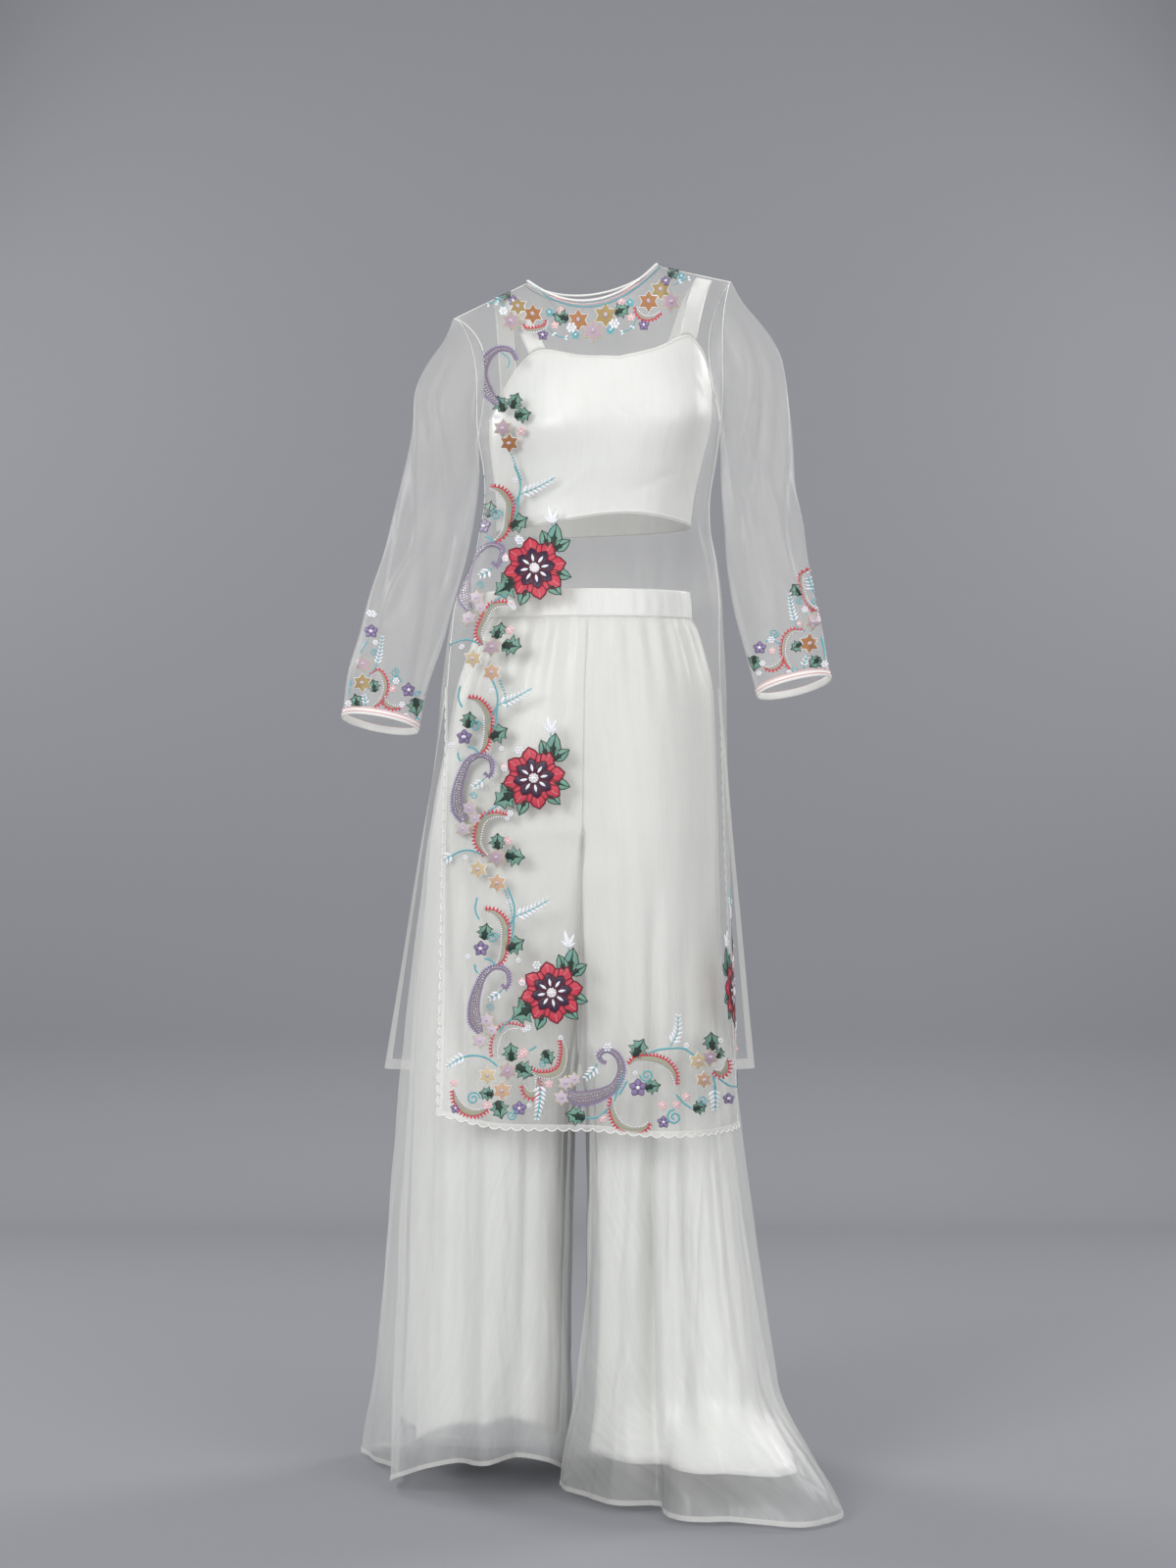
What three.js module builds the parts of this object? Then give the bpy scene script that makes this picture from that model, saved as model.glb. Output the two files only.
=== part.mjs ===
// Palazzo suit: long sheer kurta with side slits, satin camisole and wide lined palazzo trousers,
// all holding the standing worn shape. Millimetres, +Z up, +X to the wearer's left, -Y is the front.
// Heights in the tables are measured from the floor; the origin is at the shoulder line.
import * as THREE from 'three';

// Driving dimensions, mm
const HOLD_HEIGHT = 1500;      // height of the origin above the floor
const SEAM = 0.3;              // gap between two pieces at a seam
const SHEER = 1.0;             // wall of the organza pieces
const SATIN = 1.4;             // wall of the opaque pieces
const UNDERARM = 1309;         // height of the underarm points
const SLIT_TOP = 990;          // height where the side slits start
const PANEL_HALF = 89.93;      // half the turn that a front or back panel takes, degrees
const ARMHOLE_CURVE = 0.25;    // how far the armhole edges curve in
const NECK_SHARE = 5 / 12;     // share of the panel's top edge that is neckline
const NECK_RIGHT = [-77, 1492];
const NECK_LEFT = [88, 1513];
const TIP_RIGHT = [-167, 1448];
const TIP_LEFT = [178, 1494];
const NECK_FRONT = { reach: 70, drop: 44 };
const NECK_BACK = { reach: 62, drop: 18 };
const BINDING_RADIUS = 2;
const CUFF_HEIGHT = 9;
const CUFF_WALL = 1.6;
const CUFF_GAP = 0.5;
const ARMHOLE_GAP = 1.3;       // between the body's edge and the first ring of a sleeve
const CAMISOLE_HALF = 89.85;   // half the turn that a camisole panel takes, degrees
const CAMISOLE_HEM = 1184;
const CUP = { out: 12.5, angle: 36, spread: 20, height: 1312, tall: 36 };
const STRAP_WIDTH = 20;
const WAIST_SEAM = 1074;
const WAIST_TOP = 1108;
const WAIST_WIDTH = [127, 129.5];   // half width at the top and at the seam
const WAIST_DEPTH = [95, 97.5];
const CROTCH = 810;
const CROTCH_DIP = 40;
const LINING_RISE = 45;        // how much the lining hem is above the outer hem
const LEG_FLARE = { right: 0.75, left: 1.85 };   // how late each leg widens below the crotch
const TRAIN_START = 0.84;      // share of the leg below which the hem spreads on the floor
const FLOWER_RADIUS = 36;
const FLOWER_LIFT = 2.2;       // from the panel to the face of a raised flower

// height, centre x, half width, half depth, turn in degrees, rise per mm across
const KURTA_SECTIONS = [
  [990, -4, 176, 142, 15, 0],
  [1060, -2, 170, 136, 12, 0],
  [1100, 1, 165, 128, 9, 0],
  [1146, 8, 152, 116, 7, 0.01],
  [1183, 8.5, 144, 108, 6, 0.02],
  [1220, 11.5, 141, 106, 7, 0.04],
  [1262, 15, 145, 114, 8, 0.06],
  [1309, 15, 152.5, 126, 9, 0.08],
];
const CAMISOLE_SECTIONS = [
  [1180, 6, 121, 90, 6, 0.03],
  [1220, 9, 123, 93, 7, 0.04],
  [1262, 12, 130, 100, 8, 0.06],
  [1309, 15, 138, 104, 9.5, 0.08],
  [1350, 16, 137, 98, 10, 0.1],
  [1385, 16, 133, 88, 10, 0.11],
  [1415, 15, 128, 76, 10, 0.12],
];

// share across the panel (-1 wearer's right edge, 1 left edge), x, y, height
const KURTA_HEM_FRONT = [
  [-1, -178, -140, 475],
  [-0.75, -116, -152, 462],
  [-0.5, -53, -161, 460],
  [-0.25, 10, -166, 459],
  [0, 72, -165, 453],
  [0.25, 132, -150, 452],
  [0.5, 169, -105, 452],
  [0.75, 182, -44, 455],
  [1, 186, 20, 462],
];
const KURTA_HEM_BACK = [
  [-1, -265, 185, 500],
  [-0.75, -208, 203, 495],
  [-0.5, -148, 212, 490],
  [-0.25, -86, 217, 488],
  [0, -24, 219, 488],
  [0.25, 37, 217, 488],
  [0.5, 98, 212, 490],
  [0.75, 158, 203, 495],
  [1, 217, 185, 500],
];
// share across, width of the fold as a share, depth outward at the hem
const KURTA_FOLDS = {
  front: [
    [-0.62, 0.13, 5],
    [-0.28, 0.11, -4],
    [0.1, 0.13, 5],
    [0.42, 0.1, -4],
    [0.68, 0.1, 4],
  ],
  back: [
    [-0.7, 0.12, 6],
    [-0.35, 0.12, -6],
    [0, 0.12, 6],
    [0.35, 0.12, -6],
    [0.7, 0.12, 6],
  ],
};

// height, centre x, centre y, half width, half depth, forward lean, side slope, degrees
const SLEEVE_RIGHT = [
  [952, -254, -48, 48, 33, 17, 10],
  [1000, -246, -34, 50, 38, 17, 8],
  [1050, -231, -19, 52, 42, 15, 6],
  [1100, -219, -8, 53, 46, 10, 5],
  [1150, -204, -2, 52, 50, 5, 5],
  [1200, -192, 2, 51, 53, 2, 5],
  [1250, -182, -2, 48, 55, 0, 5],
  [1300, -176, -9, 43, 56, 0, 5],
  [1345, -174, -13, 40, 55, 0, 5],
  [1400, -160, -14, 40, 52, 0, 5],
  [1450, -150, -12, 34, 44, 0, 5],
];
const SLEEVE_LEFT = [
  [997, 252, -42, 47, 33, 17, 13],
  [1040, 242, -28, 48, 37, 17, 12],
  [1090, 230, -14, 49, 42, 15, 11],
  [1140, 222, -4, 49, 47, 8, 10],
  [1190, 218, 2, 48, 51, 3, 9],
  [1240, 212, 6, 47, 54, 0, 9],
  [1290, 210, 10, 46, 56, 0, 9],
  [1340, 206, 14, 45, 56, 0, 9],
  [1390, 200, 14, 41, 55, 0, 9],
  [1440, 188, 12, 38, 50, 0, 9],
  [1495, 176, 10, 32, 42, 0, 9],
];

// height, centre x, half width to the wearer's right, to the left, half depth
const HIP_SECTIONS = [
  [810, -6, 191, 168, 125],
  [870, -6, 181, 166, 122],
  [930, -5, 169, 163, 118],
  [990, -4, 158, 158, 112],
  [1030, -2, 146, 146, 106],
  [1074, 0, 130, 130, 98],
];
// Hem of each leg at its stations: 0 centre front, round the outside to 10 centre back, 11, 12 inside.
// x, y, height, then the extra x and y that the hem takes on the floor
const LEG_HEM_RIGHT = [
  [-32, -35, 26, 0, 0],
  [-75, -88, 50, 0, 0],
  [-130, -108, 47, 0, 0],
  [-190, -85, 38, 0, 0],
  [-235, -30, 10, 0, 0],
  [-255, 40, 8, 0, 0],
  [-263, 115, 6, -12, 50],
  [-232, 190, 8, -5, 12],
  [-165, 225, 8, 0, 0],
  [-95, 215, 8, 0, 0],
  [-45, 165, 10, 0, 0],
  [-26, 90, 12, 0, 0],
  [-24, 25, 18, 0, 0],
];
const LEG_HEM_LEFT = [
  [-14, -70, 12, -16, 0],
  [25, -128, 10, 0, -12],
  [85, -165, 8, 5, -35],
  [150, -180, 6, 17, -70],
  [215, -155, 5, 55, -75],
  [246, -90, 5, 48, -60],
  [255, 0, 5, 28, 0],
  [245, 95, 5, 24, 20],
  [210, 190, 6, 35, 40],
  [150, 225, 8, 0, 12],
  [70, 218, 8, 0, 0],
  [15, 140, 10, 0, 0],
  [-4, 40, 12, 0, 0],
];
// station, width in stations, depth outward at the hem, share of the leg where the fold starts
const LEG_FOLDS_RIGHT = [
  [0.75, 0.45, 12, 0.1],
  [1.25, 0.35, -12, 0.1],
  [1.9, 0.45, 16, 0.05],
  [2.5, 0.4, -14, 0.05],
  [3.6, 0.55, 18, 0],
  [4.9, 0.5, -16, 0.05],
  [6.0, 0.5, 16, 0.1],
  [6.75, 0.4, -14, 0.1],
  [7.5, 0.45, 16, 0.1],
  [8.4, 0.45, -15, 0.1],
  [9.25, 0.45, 14, 0.1],
  [10.25, 0.4, -8, 0.3],
];
const LEG_FOLDS_LEFT = [
  [0.2, 0.4, 5, 0.3],
  [1.15, 0.4, 16, 0.2],
  [1.7, 0.35, -24, 0.1],
  [2.35, 0.45, 18, 0.2],
  [3.0, 0.35, -16, 0.4],
  [3.8, 0.4, 16, 0.3],
  [4.5, 0.4, 12, 0.5],
  [6.2, 0.5, -14, 0.3],
  [7.1, 0.45, 14, 0.2],
  [7.6, 0.4, -12, 0.2],
  [8.0, 0.4, 12, 0.2],
  [8.6, 0.4, -14, 0.2],
  [9.2, 0.4, 12, 0.2],
];
// station, how far the lining hangs inside the outer leg at the hem
const LINING_INSET_RIGHT = [[0, 22], [1.5, 18], [3, 22], [4.5, 34], [6, 38], [8, 26], [10, 16], [13, 16]];
const LINING_INSET_LEFT = [[0, 30], [1, 22], [2, 26], [3, 32], [4, 27], [6, 24], [8, 22], [10, 16], [12, 24], [13, 30]];

// x and height of each flower
const FLOWERS = [
  [-64, 1131],
  [-65, 877],
  [-43, 621],
  [165, 622],
];

const organza = new THREE.MeshStandardMaterial({ name: 'organza', color: 0xf4f3ee, roughness: 0.6 });
const satin = new THREE.MeshStandardMaterial({ name: 'satin', color: 0xeef0ee, roughness: 0.4 });
const trim = new THREE.MeshStandardMaterial({ name: 'trim', color: 0xf6f4f0, roughness: 0.7 });
const thread = new THREE.MeshStandardMaterial({ name: 'thread', color: 0xd8485a, roughness: 0.8 });

const radians = (degrees) => degrees * Math.PI / 180;
const mix = (a, b, share) => a + (b - a) * share;
const hold = (value) => Math.min(1, Math.max(0, value));
const smooth = (value) => hold(value) ** 2 * (3 - 2 * hold(value));
const mixPoint = (a, b, share) => a.map((value, axis) => mix(value, b[axis], share));

// Every column of a table at one value of its first column, on a smooth curve through the rows
function tableAt(table, at) {
  const last = table.length - 1;
  let index = 0;
  while (index < last - 1 && at > table[index + 1][0]) index += 1;
  const low = table[index];
  const high = table[index + 1];
  const step = high[0] - low[0];
  const t = hold((at - low[0]) / step);
  const slope = (row, column) => {
    const before = table[Math.max(row - 1, 0)];
    const after = table[Math.min(row + 1, last)];
    return (after[column] - before[column]) / (after[0] - before[0]);
  };
  return low.map((value, column) => {
    const a = 2 * t ** 3 - 3 * t ** 2 + 1;
    const b = t ** 3 - 2 * t ** 2 + t;
    const c = t ** 3 - t ** 2;
    const ends = a * value + (1 - a) * high[column];
    return ends + step * (b * slope(index, column) + c * slope(index + 1, column));
  });
}

// Every column of a closed list of stations, on a smooth curve that comes round to its start
function loopAt(table, station) {
  const count = table.length;
  const index = Math.floor(station);
  const t = station - index;
  const row = (offset) => table[(index + offset + count) % count];
  return row(0).map((value, column) => {
    const before = row(-1)[column];
    const next = row(1)[column];
    const after = row(2)[column];
    const bend = 2 * before - 5 * value + 4 * next - after;
    const twist = 3 * value - before - 3 * next + after;
    return value + 0.5 * t * (next - before + t * (bend + t * twist));
  });
}

function foldsAt(folds, place) {
  let sum = 0;
  for (const [centre, width, depth] of folds) sum += depth * Math.exp(-(((place - centre) / width) ** 2));
  return sum;
}

// A closed body from one surface: the same surface again inside, and a rim along its edges.
// Points listed in straight go inside without a move along one axis, as at a shoulder seam.
function wall(name, points, faces, thickness, material, straight = [], axis = 'y') {
  const normals = points.map(() => new THREE.Vector3());
  const place = points.map((point) => new THREE.Vector3(point[0], point[1], point[2] - HOLD_HEIGHT));
  for (const face of faces) {
    const across = place[face[2]].clone().sub(place[face[0]]);
    const other = place[face[3] ?? face[0]].clone().sub(place[face[1]]);
    const normal = across.cross(other);
    for (const corner of face) normals[corner].add(normal);
  }
  const count = points.length;
  const corners = [];
  for (const point of place) corners.push(point.x, point.y, point.z);
  for (const index of straight) normals[index][axis] = 0;
  place.forEach((point, index) => {
    const inside = point.clone().addScaledVector(normals[index].normalize(), -thickness);
    corners.push(inside.x, inside.y, inside.z);
  });
  const triangles = [];
  const edges = new Set();
  for (const face of faces) {
    for (let corner = 1; corner + 1 < face.length; corner += 1) {
      triangles.push(face[0], face[corner], face[corner + 1]);
      triangles.push(face[0] + count, face[corner + 1] + count, face[corner] + count);
    }
    face.forEach((from, corner) => edges.add(`${from} ${face[(corner + 1) % face.length]}`));
  }
  for (const edge of edges) {
    const [from, to] = edge.split(' ').map(Number);
    if (edges.has(`${to} ${from}`)) continue;
    triangles.push(to, from, from + count);
    triangles.push(to, from + count, to + count);
  }
  const geometry = new THREE.BufferGeometry();
  geometry.setAttribute('position', new THREE.Float32BufferAttribute(corners, 3));
  geometry.setIndex(triangles);
  geometry.computeVertexNormals();
  const mesh = new THREE.Mesh(geometry, material);
  mesh.name = name;
  return mesh;
}

// Points in rows that go down and columns that go round; closed grids join the last column to the first
function sheet(name, rows, columns, pointAt, options) {
  const points = [];
  const faces = [];
  const width = options.closed ? columns : columns + 1;
  for (let row = 0; row <= rows; row += 1) {
    for (let column = 0; column < width; column += 1) points.push(pointAt(column / columns, row / rows));
  }
  for (let row = 0; row < rows; row += 1) {
    for (let column = 0; column < columns; column += 1) {
      const next = (column + 1) % width;
      const face = [row * width + column, (row + 1) * width + column, (row + 1) * width + next, row * width + next];
      faces.push(options.flip ? face.reverse() : face);
    }
  }
  return wall(name, points, faces, options.thickness, options.material, options.straight, options.axis);
}

// A point on an oval section; the angle starts at the front and grows towards the wearer's left
function bodyPoint(table, height, angle, out = 0) {
  const [, centre, halfWidth, halfDepth, turn, rise] = tableAt(table, height);
  const around = radians(angle + turn);
  const x = centre + (halfWidth + out) * Math.sin(around);
  const y = -(halfDepth + out) * Math.cos(around);
  return [x, y, height + rise * (x - centre)];
}

const panelAngle = (face, share) => (face === 'front' ? PANEL_HALF * share : 180 - PANEL_HALF * share);

function topEdge(face, share) {
  const side = face === 'front' ? -1 : 1;
  const cut = face === 'front' ? NECK_FRONT : NECK_BACK;
  const reach = Math.abs(share);
  if (reach >= NECK_SHARE) {
    const along = (reach - NECK_SHARE) / (1 - NECK_SHARE);
    const neck = share < 0 ? NECK_RIGHT : NECK_LEFT;
    const tip = share < 0 ? TIP_RIGHT : TIP_LEFT;
    return [mix(neck[0], tip[0], along), side * SEAM / 2, mix(neck[1], tip[1], along)];
  }
  const around = Math.PI / 2 * share / NECK_SHARE;
  const along = (Math.sin(around) + 1) / 2;
  const [x, height] = mixPoint(NECK_RIGHT, NECK_LEFT, along);
  return [x, side * (SEAM / 2 + cut.reach * Math.cos(around)), height - cut.drop * Math.cos(around) ** 1.8];
}

// Level 0 is the top edge, 1 the underarm, 2 the top of the slits and 3 the hem
function kurtaPoint(face, share, level) {
  if (level < 1) {
    const up = 1 - level;
    const curved = share * (1 - ARMHOLE_CURVE * Math.sin(Math.PI * up));
    const low = bodyPoint(KURTA_SECTIONS, UNDERARM, panelAngle(face, curved));
    const high = topEdge(face, share);
    const side = smooth(Math.abs(share) / NECK_SHARE);
    const rise = mix(up, Math.sin(Math.PI / 2 * up), side);
    const lean = mix(up ** 1.3, 1 - Math.cos(Math.PI / 2 * up), side);
    return [mix(low[0], high[0], up ** 1.8), mix(low[1], high[1], lean), mix(low[2], high[2], rise)];
  }
  const angle = panelAngle(face, share);
  if (level <= 2) return bodyPoint(KURTA_SECTIONS, mix(UNDERARM, SLIT_TOP, level - 1), angle);
  const down = level - 2;
  const ring = bodyPoint(KURTA_SECTIONS, SLIT_TOP, angle);
  const hem = tableAt(face === 'front' ? KURTA_HEM_FRONT : KURTA_HEM_BACK, share).slice(1);
  const spread = face === 'front' ? down ** 1.3 : down;
  const fold = foldsAt(KURTA_FOLDS[face], share) * smooth(down);
  const around = radians(angle + KURTA_SECTIONS[0][4]);
  const x = mix(ring[0], hem[0], spread) + fold * Math.sin(around);
  const y = mix(ring[1], hem[1], spread) - fold * Math.cos(around);
  return [x, y, mix(ring[2], hem[2], down)];
}

const KURTA_LEVELS = [];
for (let step = 0; step < 6; step += 1) KURTA_LEVELS.push(step / 6);
for (let step = 0; step < 5; step += 1) KURTA_LEVELS.push(1 + step / 5);
for (let step = 0; step <= 6; step += 1) KURTA_LEVELS.push(2 + step / 6);

function kurtaPanel(face) {
  const rows = KURTA_LEVELS.length - 1;
  const pointAt = (across, down) => {
    const share = face === 'front' ? 2 * across - 1 : 1 - 2 * across;
    return kurtaPoint(face, share, KURTA_LEVELS[Math.round(down * rows)]);
  };
  const straight = [];
  for (let column = 0; column <= 24; column += 1) {
    if (Math.abs(column / 12 - 1) >= NECK_SHARE - 0.01) straight.push(column);
  }
  return sheet(`kurta_${face}`, rows, 24, pointAt, { thickness: SHEER, material: organza, straight });
}

// The armhole as the flat steps of the panels draw it: 0 at the shoulder, 0.5 underarm, 1 again shoulder
function armholePoint(side, around) {
  const face = around <= 0.5 ? 'front' : 'back';
  const level = (around <= 0.5 ? 2 * around : 2 - 2 * around) * 6;
  const step = Math.min(5, Math.floor(level));
  const high = kurtaPoint(face, side, step / 6);
  const low = kurtaPoint(face, side, (step + 1) / 6);
  return mixPoint(high, low, level - step);
}

function sleeveFrame(side, height) {
  const table = side < 0 ? SLEEVE_RIGHT : SLEEVE_LEFT;
  const [, x, y, halfWidth, halfDepth, lean, slope] = tableAt(table, height);
  const out = [side * Math.cos(radians(slope)), 0, Math.sin(radians(slope))];
  const front = [0, -Math.cos(radians(lean)), Math.sin(radians(lean))];
  return { centre: [x, y, height], halfWidth, halfDepth, out, front };
}

// Keeps a sleeve point clear of the kurta body beside it
function clearOfBody(side, point, gap) {
  const level = Math.min(point[2] - side * 12, UNDERARM);
  const [, centre, halfWidth, halfDepth] = tableAt(KURTA_SECTIONS, level);
  const share = 1 - (point[1] / halfDepth) ** 2;
  if (share <= 0) return point;
  const limit = side * centre + halfWidth * Math.sqrt(share) + gap;
  return [side * Math.max(side * point[0], limit), point[1], point[2]];
}

function sleevePoint(side, around, down, out = 0) {
  const start = armholePoint(side, around);
  const cuff = side < 0 ? SLEEVE_RIGHT[0][0] : SLEEVE_LEFT[0][0];
  const frame = sleeveFrame(side, mix(start[2], cuff, down));
  const turn = 2 * Math.PI * around;
  const wide = (frame.halfWidth + out) * Math.cos(turn);
  const deep = (frame.halfDepth + out) * Math.sin(turn);
  const rise = (wide * frame.out[2] + deep * frame.front[2]) * smooth(down);
  const x = frame.centre[0] + wide * frame.out[0];
  const y = frame.centre[1] + deep * frame.front[1];
  const hang = [x, y, frame.centre[2] + rise];
  const free = down < 0.6 ? clearOfBody(side, hang, 4) : hang;
  const share = Math.sin(Math.PI / 2 * hold(down / 0.2));
  const point = [mix(start[0] + ARMHOLE_GAP * side, free[0], share), mix(start[1], free[1], share), hang[2]];
  return down > 0 && point[2] < UNDERARM + side * 12 ? clearOfBody(side, point, 2.5) : point;
}

function sleeve(name, side) {
  const pointAt = (around, down) => sleevePoint(side, around, down);
  const straight = Array.from({ length: 24 }, (value, index) => index);
  const options = { closed: true, flip: side > 0, thickness: SHEER, material: organza, straight, axis: 'x' };
  return sheet(name, 11, 24, pointAt, options);
}

function cuffBand(name, side) {
  const cuff = side < 0 ? SLEEVE_RIGHT[0][0] : SLEEVE_LEFT[0][0];
  const frame = sleeveFrame(side, cuff);
  const out = new THREE.Vector3(...frame.out);
  const front = new THREE.Vector3(...frame.front);
  const along = out.cross(front).normalize();
  if (along.z > 0) along.negate();
  const pointAt = (around, down) => {
    const edge = sleevePoint(side, around, 1, 0.3);
    const drop = CUFF_GAP + CUFF_HEIGHT * down;
    return [edge[0] + along.x * drop, edge[1] + along.y * drop, edge[2] + along.z * drop];
  };
  return sheet(name, 1, 24, pointAt, { closed: true, flip: side > 0, thickness: CUFF_WALL, material: trim });
}

// A round cord on a closed path
function cord(name, path, radius, material) {
  const count = path.length;
  const points = [];
  const faces = [];
  path.forEach((point, index) => {
    const before = new THREE.Vector3(...path[(index + count - 1) % count]);
    const after = new THREE.Vector3(...path[(index + 1) % count]);
    const along = after.sub(before).normalize();
    const side = new THREE.Vector3(0, 0, 1).cross(along).normalize();
    const up = along.clone().cross(side);
    for (let step = 0; step < 6; step += 1) {
      const turn = Math.PI * step / 3;
      const offset = side.clone().multiplyScalar(radius * Math.cos(turn)).addScaledVector(up, radius * Math.sin(turn));
      points.push(point[0] + offset.x, point[1] + offset.y, point[2] + offset.z - HOLD_HEIGHT);
    }
  });
  for (let index = 0; index < count; index += 1) {
    const next = (index + 1) % count;
    for (let step = 0; step < 6; step += 1) {
      const turn = (step + 1) % 6;
      faces.push(index * 6 + step, next * 6 + step, next * 6 + turn);
      faces.push(index * 6 + step, next * 6 + turn, index * 6 + turn);
    }
  }
  const geometry = new THREE.BufferGeometry();
  geometry.setAttribute('position', new THREE.Float32BufferAttribute(points, 3));
  geometry.setIndex(faces.reverse());
  geometry.computeVertexNormals();
  const mesh = new THREE.Mesh(geometry, material);
  mesh.name = name;
  return mesh;
}

function neckBinding() {
  const path = [];
  for (let step = 0; step < 10; step += 1) path.push(topEdge('front', NECK_SHARE * (step / 5 - 1)));
  for (let step = 0; step < 10; step += 1) path.push(topEdge('back', NECK_SHARE * (1 - step / 5)));
  const raised = path.map(([x, y, height]) => [x * 0.975, y * 0.975, height + BINDING_RADIUS + 1.6]);
  return cord('neck_binding', raised, BINDING_RADIUS, trim);
}

// angle from the middle of the front, height of the upper edge of the camisole
const CAMISOLE_TOP = [
  [0, 1389],
  [20, 1396],
  [46, 1411],
  [60, 1395],
  [75, 1360],
  [90, 1338],
  [180, 1330],
];

function camisolePoint(angle, down) {
  const reach = Math.abs(angle);
  const top = tableAt(CAMISOLE_TOP, reach)[1];
  const hem = CAMISOLE_HEM + 14 * Math.exp(-(((angle - 10) / 42) ** 2));
  const height = mix(top, hem, down);
  const away = ((reach - CUP.angle) / CUP.spread) ** 2 + ((height - CUP.height) / CUP.tall) ** 2;
  return bodyPoint(CAMISOLE_SECTIONS, height, angle, CUP.out * Math.exp(-away));
}

function camisole(face) {
  const pointAt = (across, down) => {
    const turn = 2 * across - 1;
    const angle = (face === 'front' ? 0 : 180) + CAMISOLE_HALF * turn;
    return camisolePoint(angle > 180 ? angle - 360 : angle, down);
  };
  const size = face === 'front' ? [8, 20] : [5, 16];
  return sheet(`camisole_${face}`, ...size, pointAt, { thickness: SATIN, material: satin });
}

// shoulder x, shoulder height, slope across the shoulder, angle on the front edge, on the back edge
const STRAPS = {
  right: [-107, 1473.9, 0.48, -47, -134],
  left: [145, 1497.9, -0.2, 47, 140],
};

// A point of the camisole's upper edge under the strap, from one side of the strap to the other
function strapFoot(angle, across) {
  const perDegree = camisolePoint(angle + 1, 0)[0] - camisolePoint(angle, 0)[0];
  return camisolePoint(angle + STRAP_WIDTH * (across - 0.5) / perDegree, 0);
}

function strap(name, side) {
  const [shoulder, height, slope, frontAngle, backAngle] = STRAPS[side];
  const pointAt = (across, along) => {
    const front = along < 0.4;
    const share = front ? along / 0.4 : (1 - along) / 0.6;
    const foot = strapFoot(front ? frontAngle : backAngle, across);
    const turn = Math.PI / 2 * share;
    const aside = STRAP_WIDTH * (across - 0.5);
    const x = mix(foot[0], shoulder + aside, share);
    const y = foot[1] * Math.cos(turn) ** 1.4;
    const climb = mix(Math.sin(turn), share, 0.35);
    return [x, y, mix(foot[2] + 0.8, height + slope * aside, climb)];
  };
  return sheet(name, 15, 2, (across, along) => pointAt(across, 1 - along), {
    flip: true,
    thickness: SATIN,
    material: satin,
  });
}

function waistband() {
  const pointAt = (around, down) => {
    const turn = 2 * Math.PI * around;
    const halfWidth = mix(...WAIST_WIDTH, down);
    const halfDepth = mix(...WAIST_DEPTH, down);
    return [halfWidth * Math.sin(turn), -halfDepth * Math.cos(turn), mix(WAIST_TOP, WAIST_SEAM, down)];
  };
  return sheet('palazzo_waistband', 1, 36, pointAt, { closed: true, thickness: 2, material: satin });
}

// Station as in the hem tables; level 0 waist seam, 1 crotch, 2 hem
function legShape(side, station, level) {
  const over = (station + 13) % 13;
  const height = level < 1 ? mix(WAIST_SEAM - SEAM, CROTCH, level) : CROTCH;
  const [, centre, right, left, depth] = tableAt(HIP_SECTIONS, height);
  const half = side < 0 ? right : left;
  const inner = over > 10 ? (over - 10) / 3 : 0;
  const around = radians(18 * over);
  const x = centre + side * (SEAM / 2 + (inner ? 0 : half * Math.sin(around)));
  const y = inner ? mix(depth, -depth, inner) : -depth * Math.cos(around);
  const dip = CROTCH_DIP * Math.sin(Math.PI * inner);
  if (level <= 1) return [x, y, height - dip];
  const down = level - 1;
  const table = side < 0 ? LEG_HEM_RIGHT : LEG_HEM_LEFT;
  const [hemX, hemY, hemHeight, trainX, trainY] = loopAt(table, over);
  const flare = down ** (side < 0 ? LEG_FLARE.right : LEG_FLARE.left);
  const train = smooth((down - TRAIN_START) / (1 - TRAIN_START));
  const z = mix(height, hemHeight, down) - dip * (1 - smooth(down / 0.35));
  return [mix(x, hemX, flare) + train * trainX, mix(y, hemY, flare) + train * trainY, z];
}

// The leg with its folds; the lining hangs inside it, ends higher up and has shallower folds
function legPoint(side, station, place, lining) {
  const level = lining && place > 1 ? 1 + (place - 1) * (1 - LINING_RISE / CROTCH) : place;
  const open = level < 1;
  const low = open ? Math.max(station - 0.2, 0) : station - 0.2;
  const high = open ? Math.min(station + 0.2, 10) : station + 0.2;
  const before = legShape(side, low, level);
  const after = legShape(side, high, level);
  const length = Math.hypot(after[0] - before[0], after[1] - before[1]);
  const out = [side * (after[1] - before[1]) / length, -side * (after[0] - before[0]) / length];
  const down = Math.max(level - 1, 0);
  let fold = 0;
  for (const [centre, width, depth, from] of side < 0 ? LEG_FOLDS_RIGHT : LEG_FOLDS_LEFT) {
    const gap = Math.min(Math.abs(station - centre), Math.abs(station - centre + 13), Math.abs(station - centre - 13));
    fold += depth * Math.exp(-((gap / width) ** 2)) * smooth((down - from) / (1 - from));
  }
  let inset = 0;
  if (lining) {
    const table = side < 0 ? LINING_INSET_RIGHT : LINING_INSET_LEFT;
    inset = mix(1.5 + 1.5 * smooth(level / 0.4), tableAt(table, station)[1], down);
    fold *= 0.6;
  }
  const [x, y, height] = legShape(side, station, level);
  const move = fold - inset;
  return [x + out[0] * move, y + out[1] * move, height];
}

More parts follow.
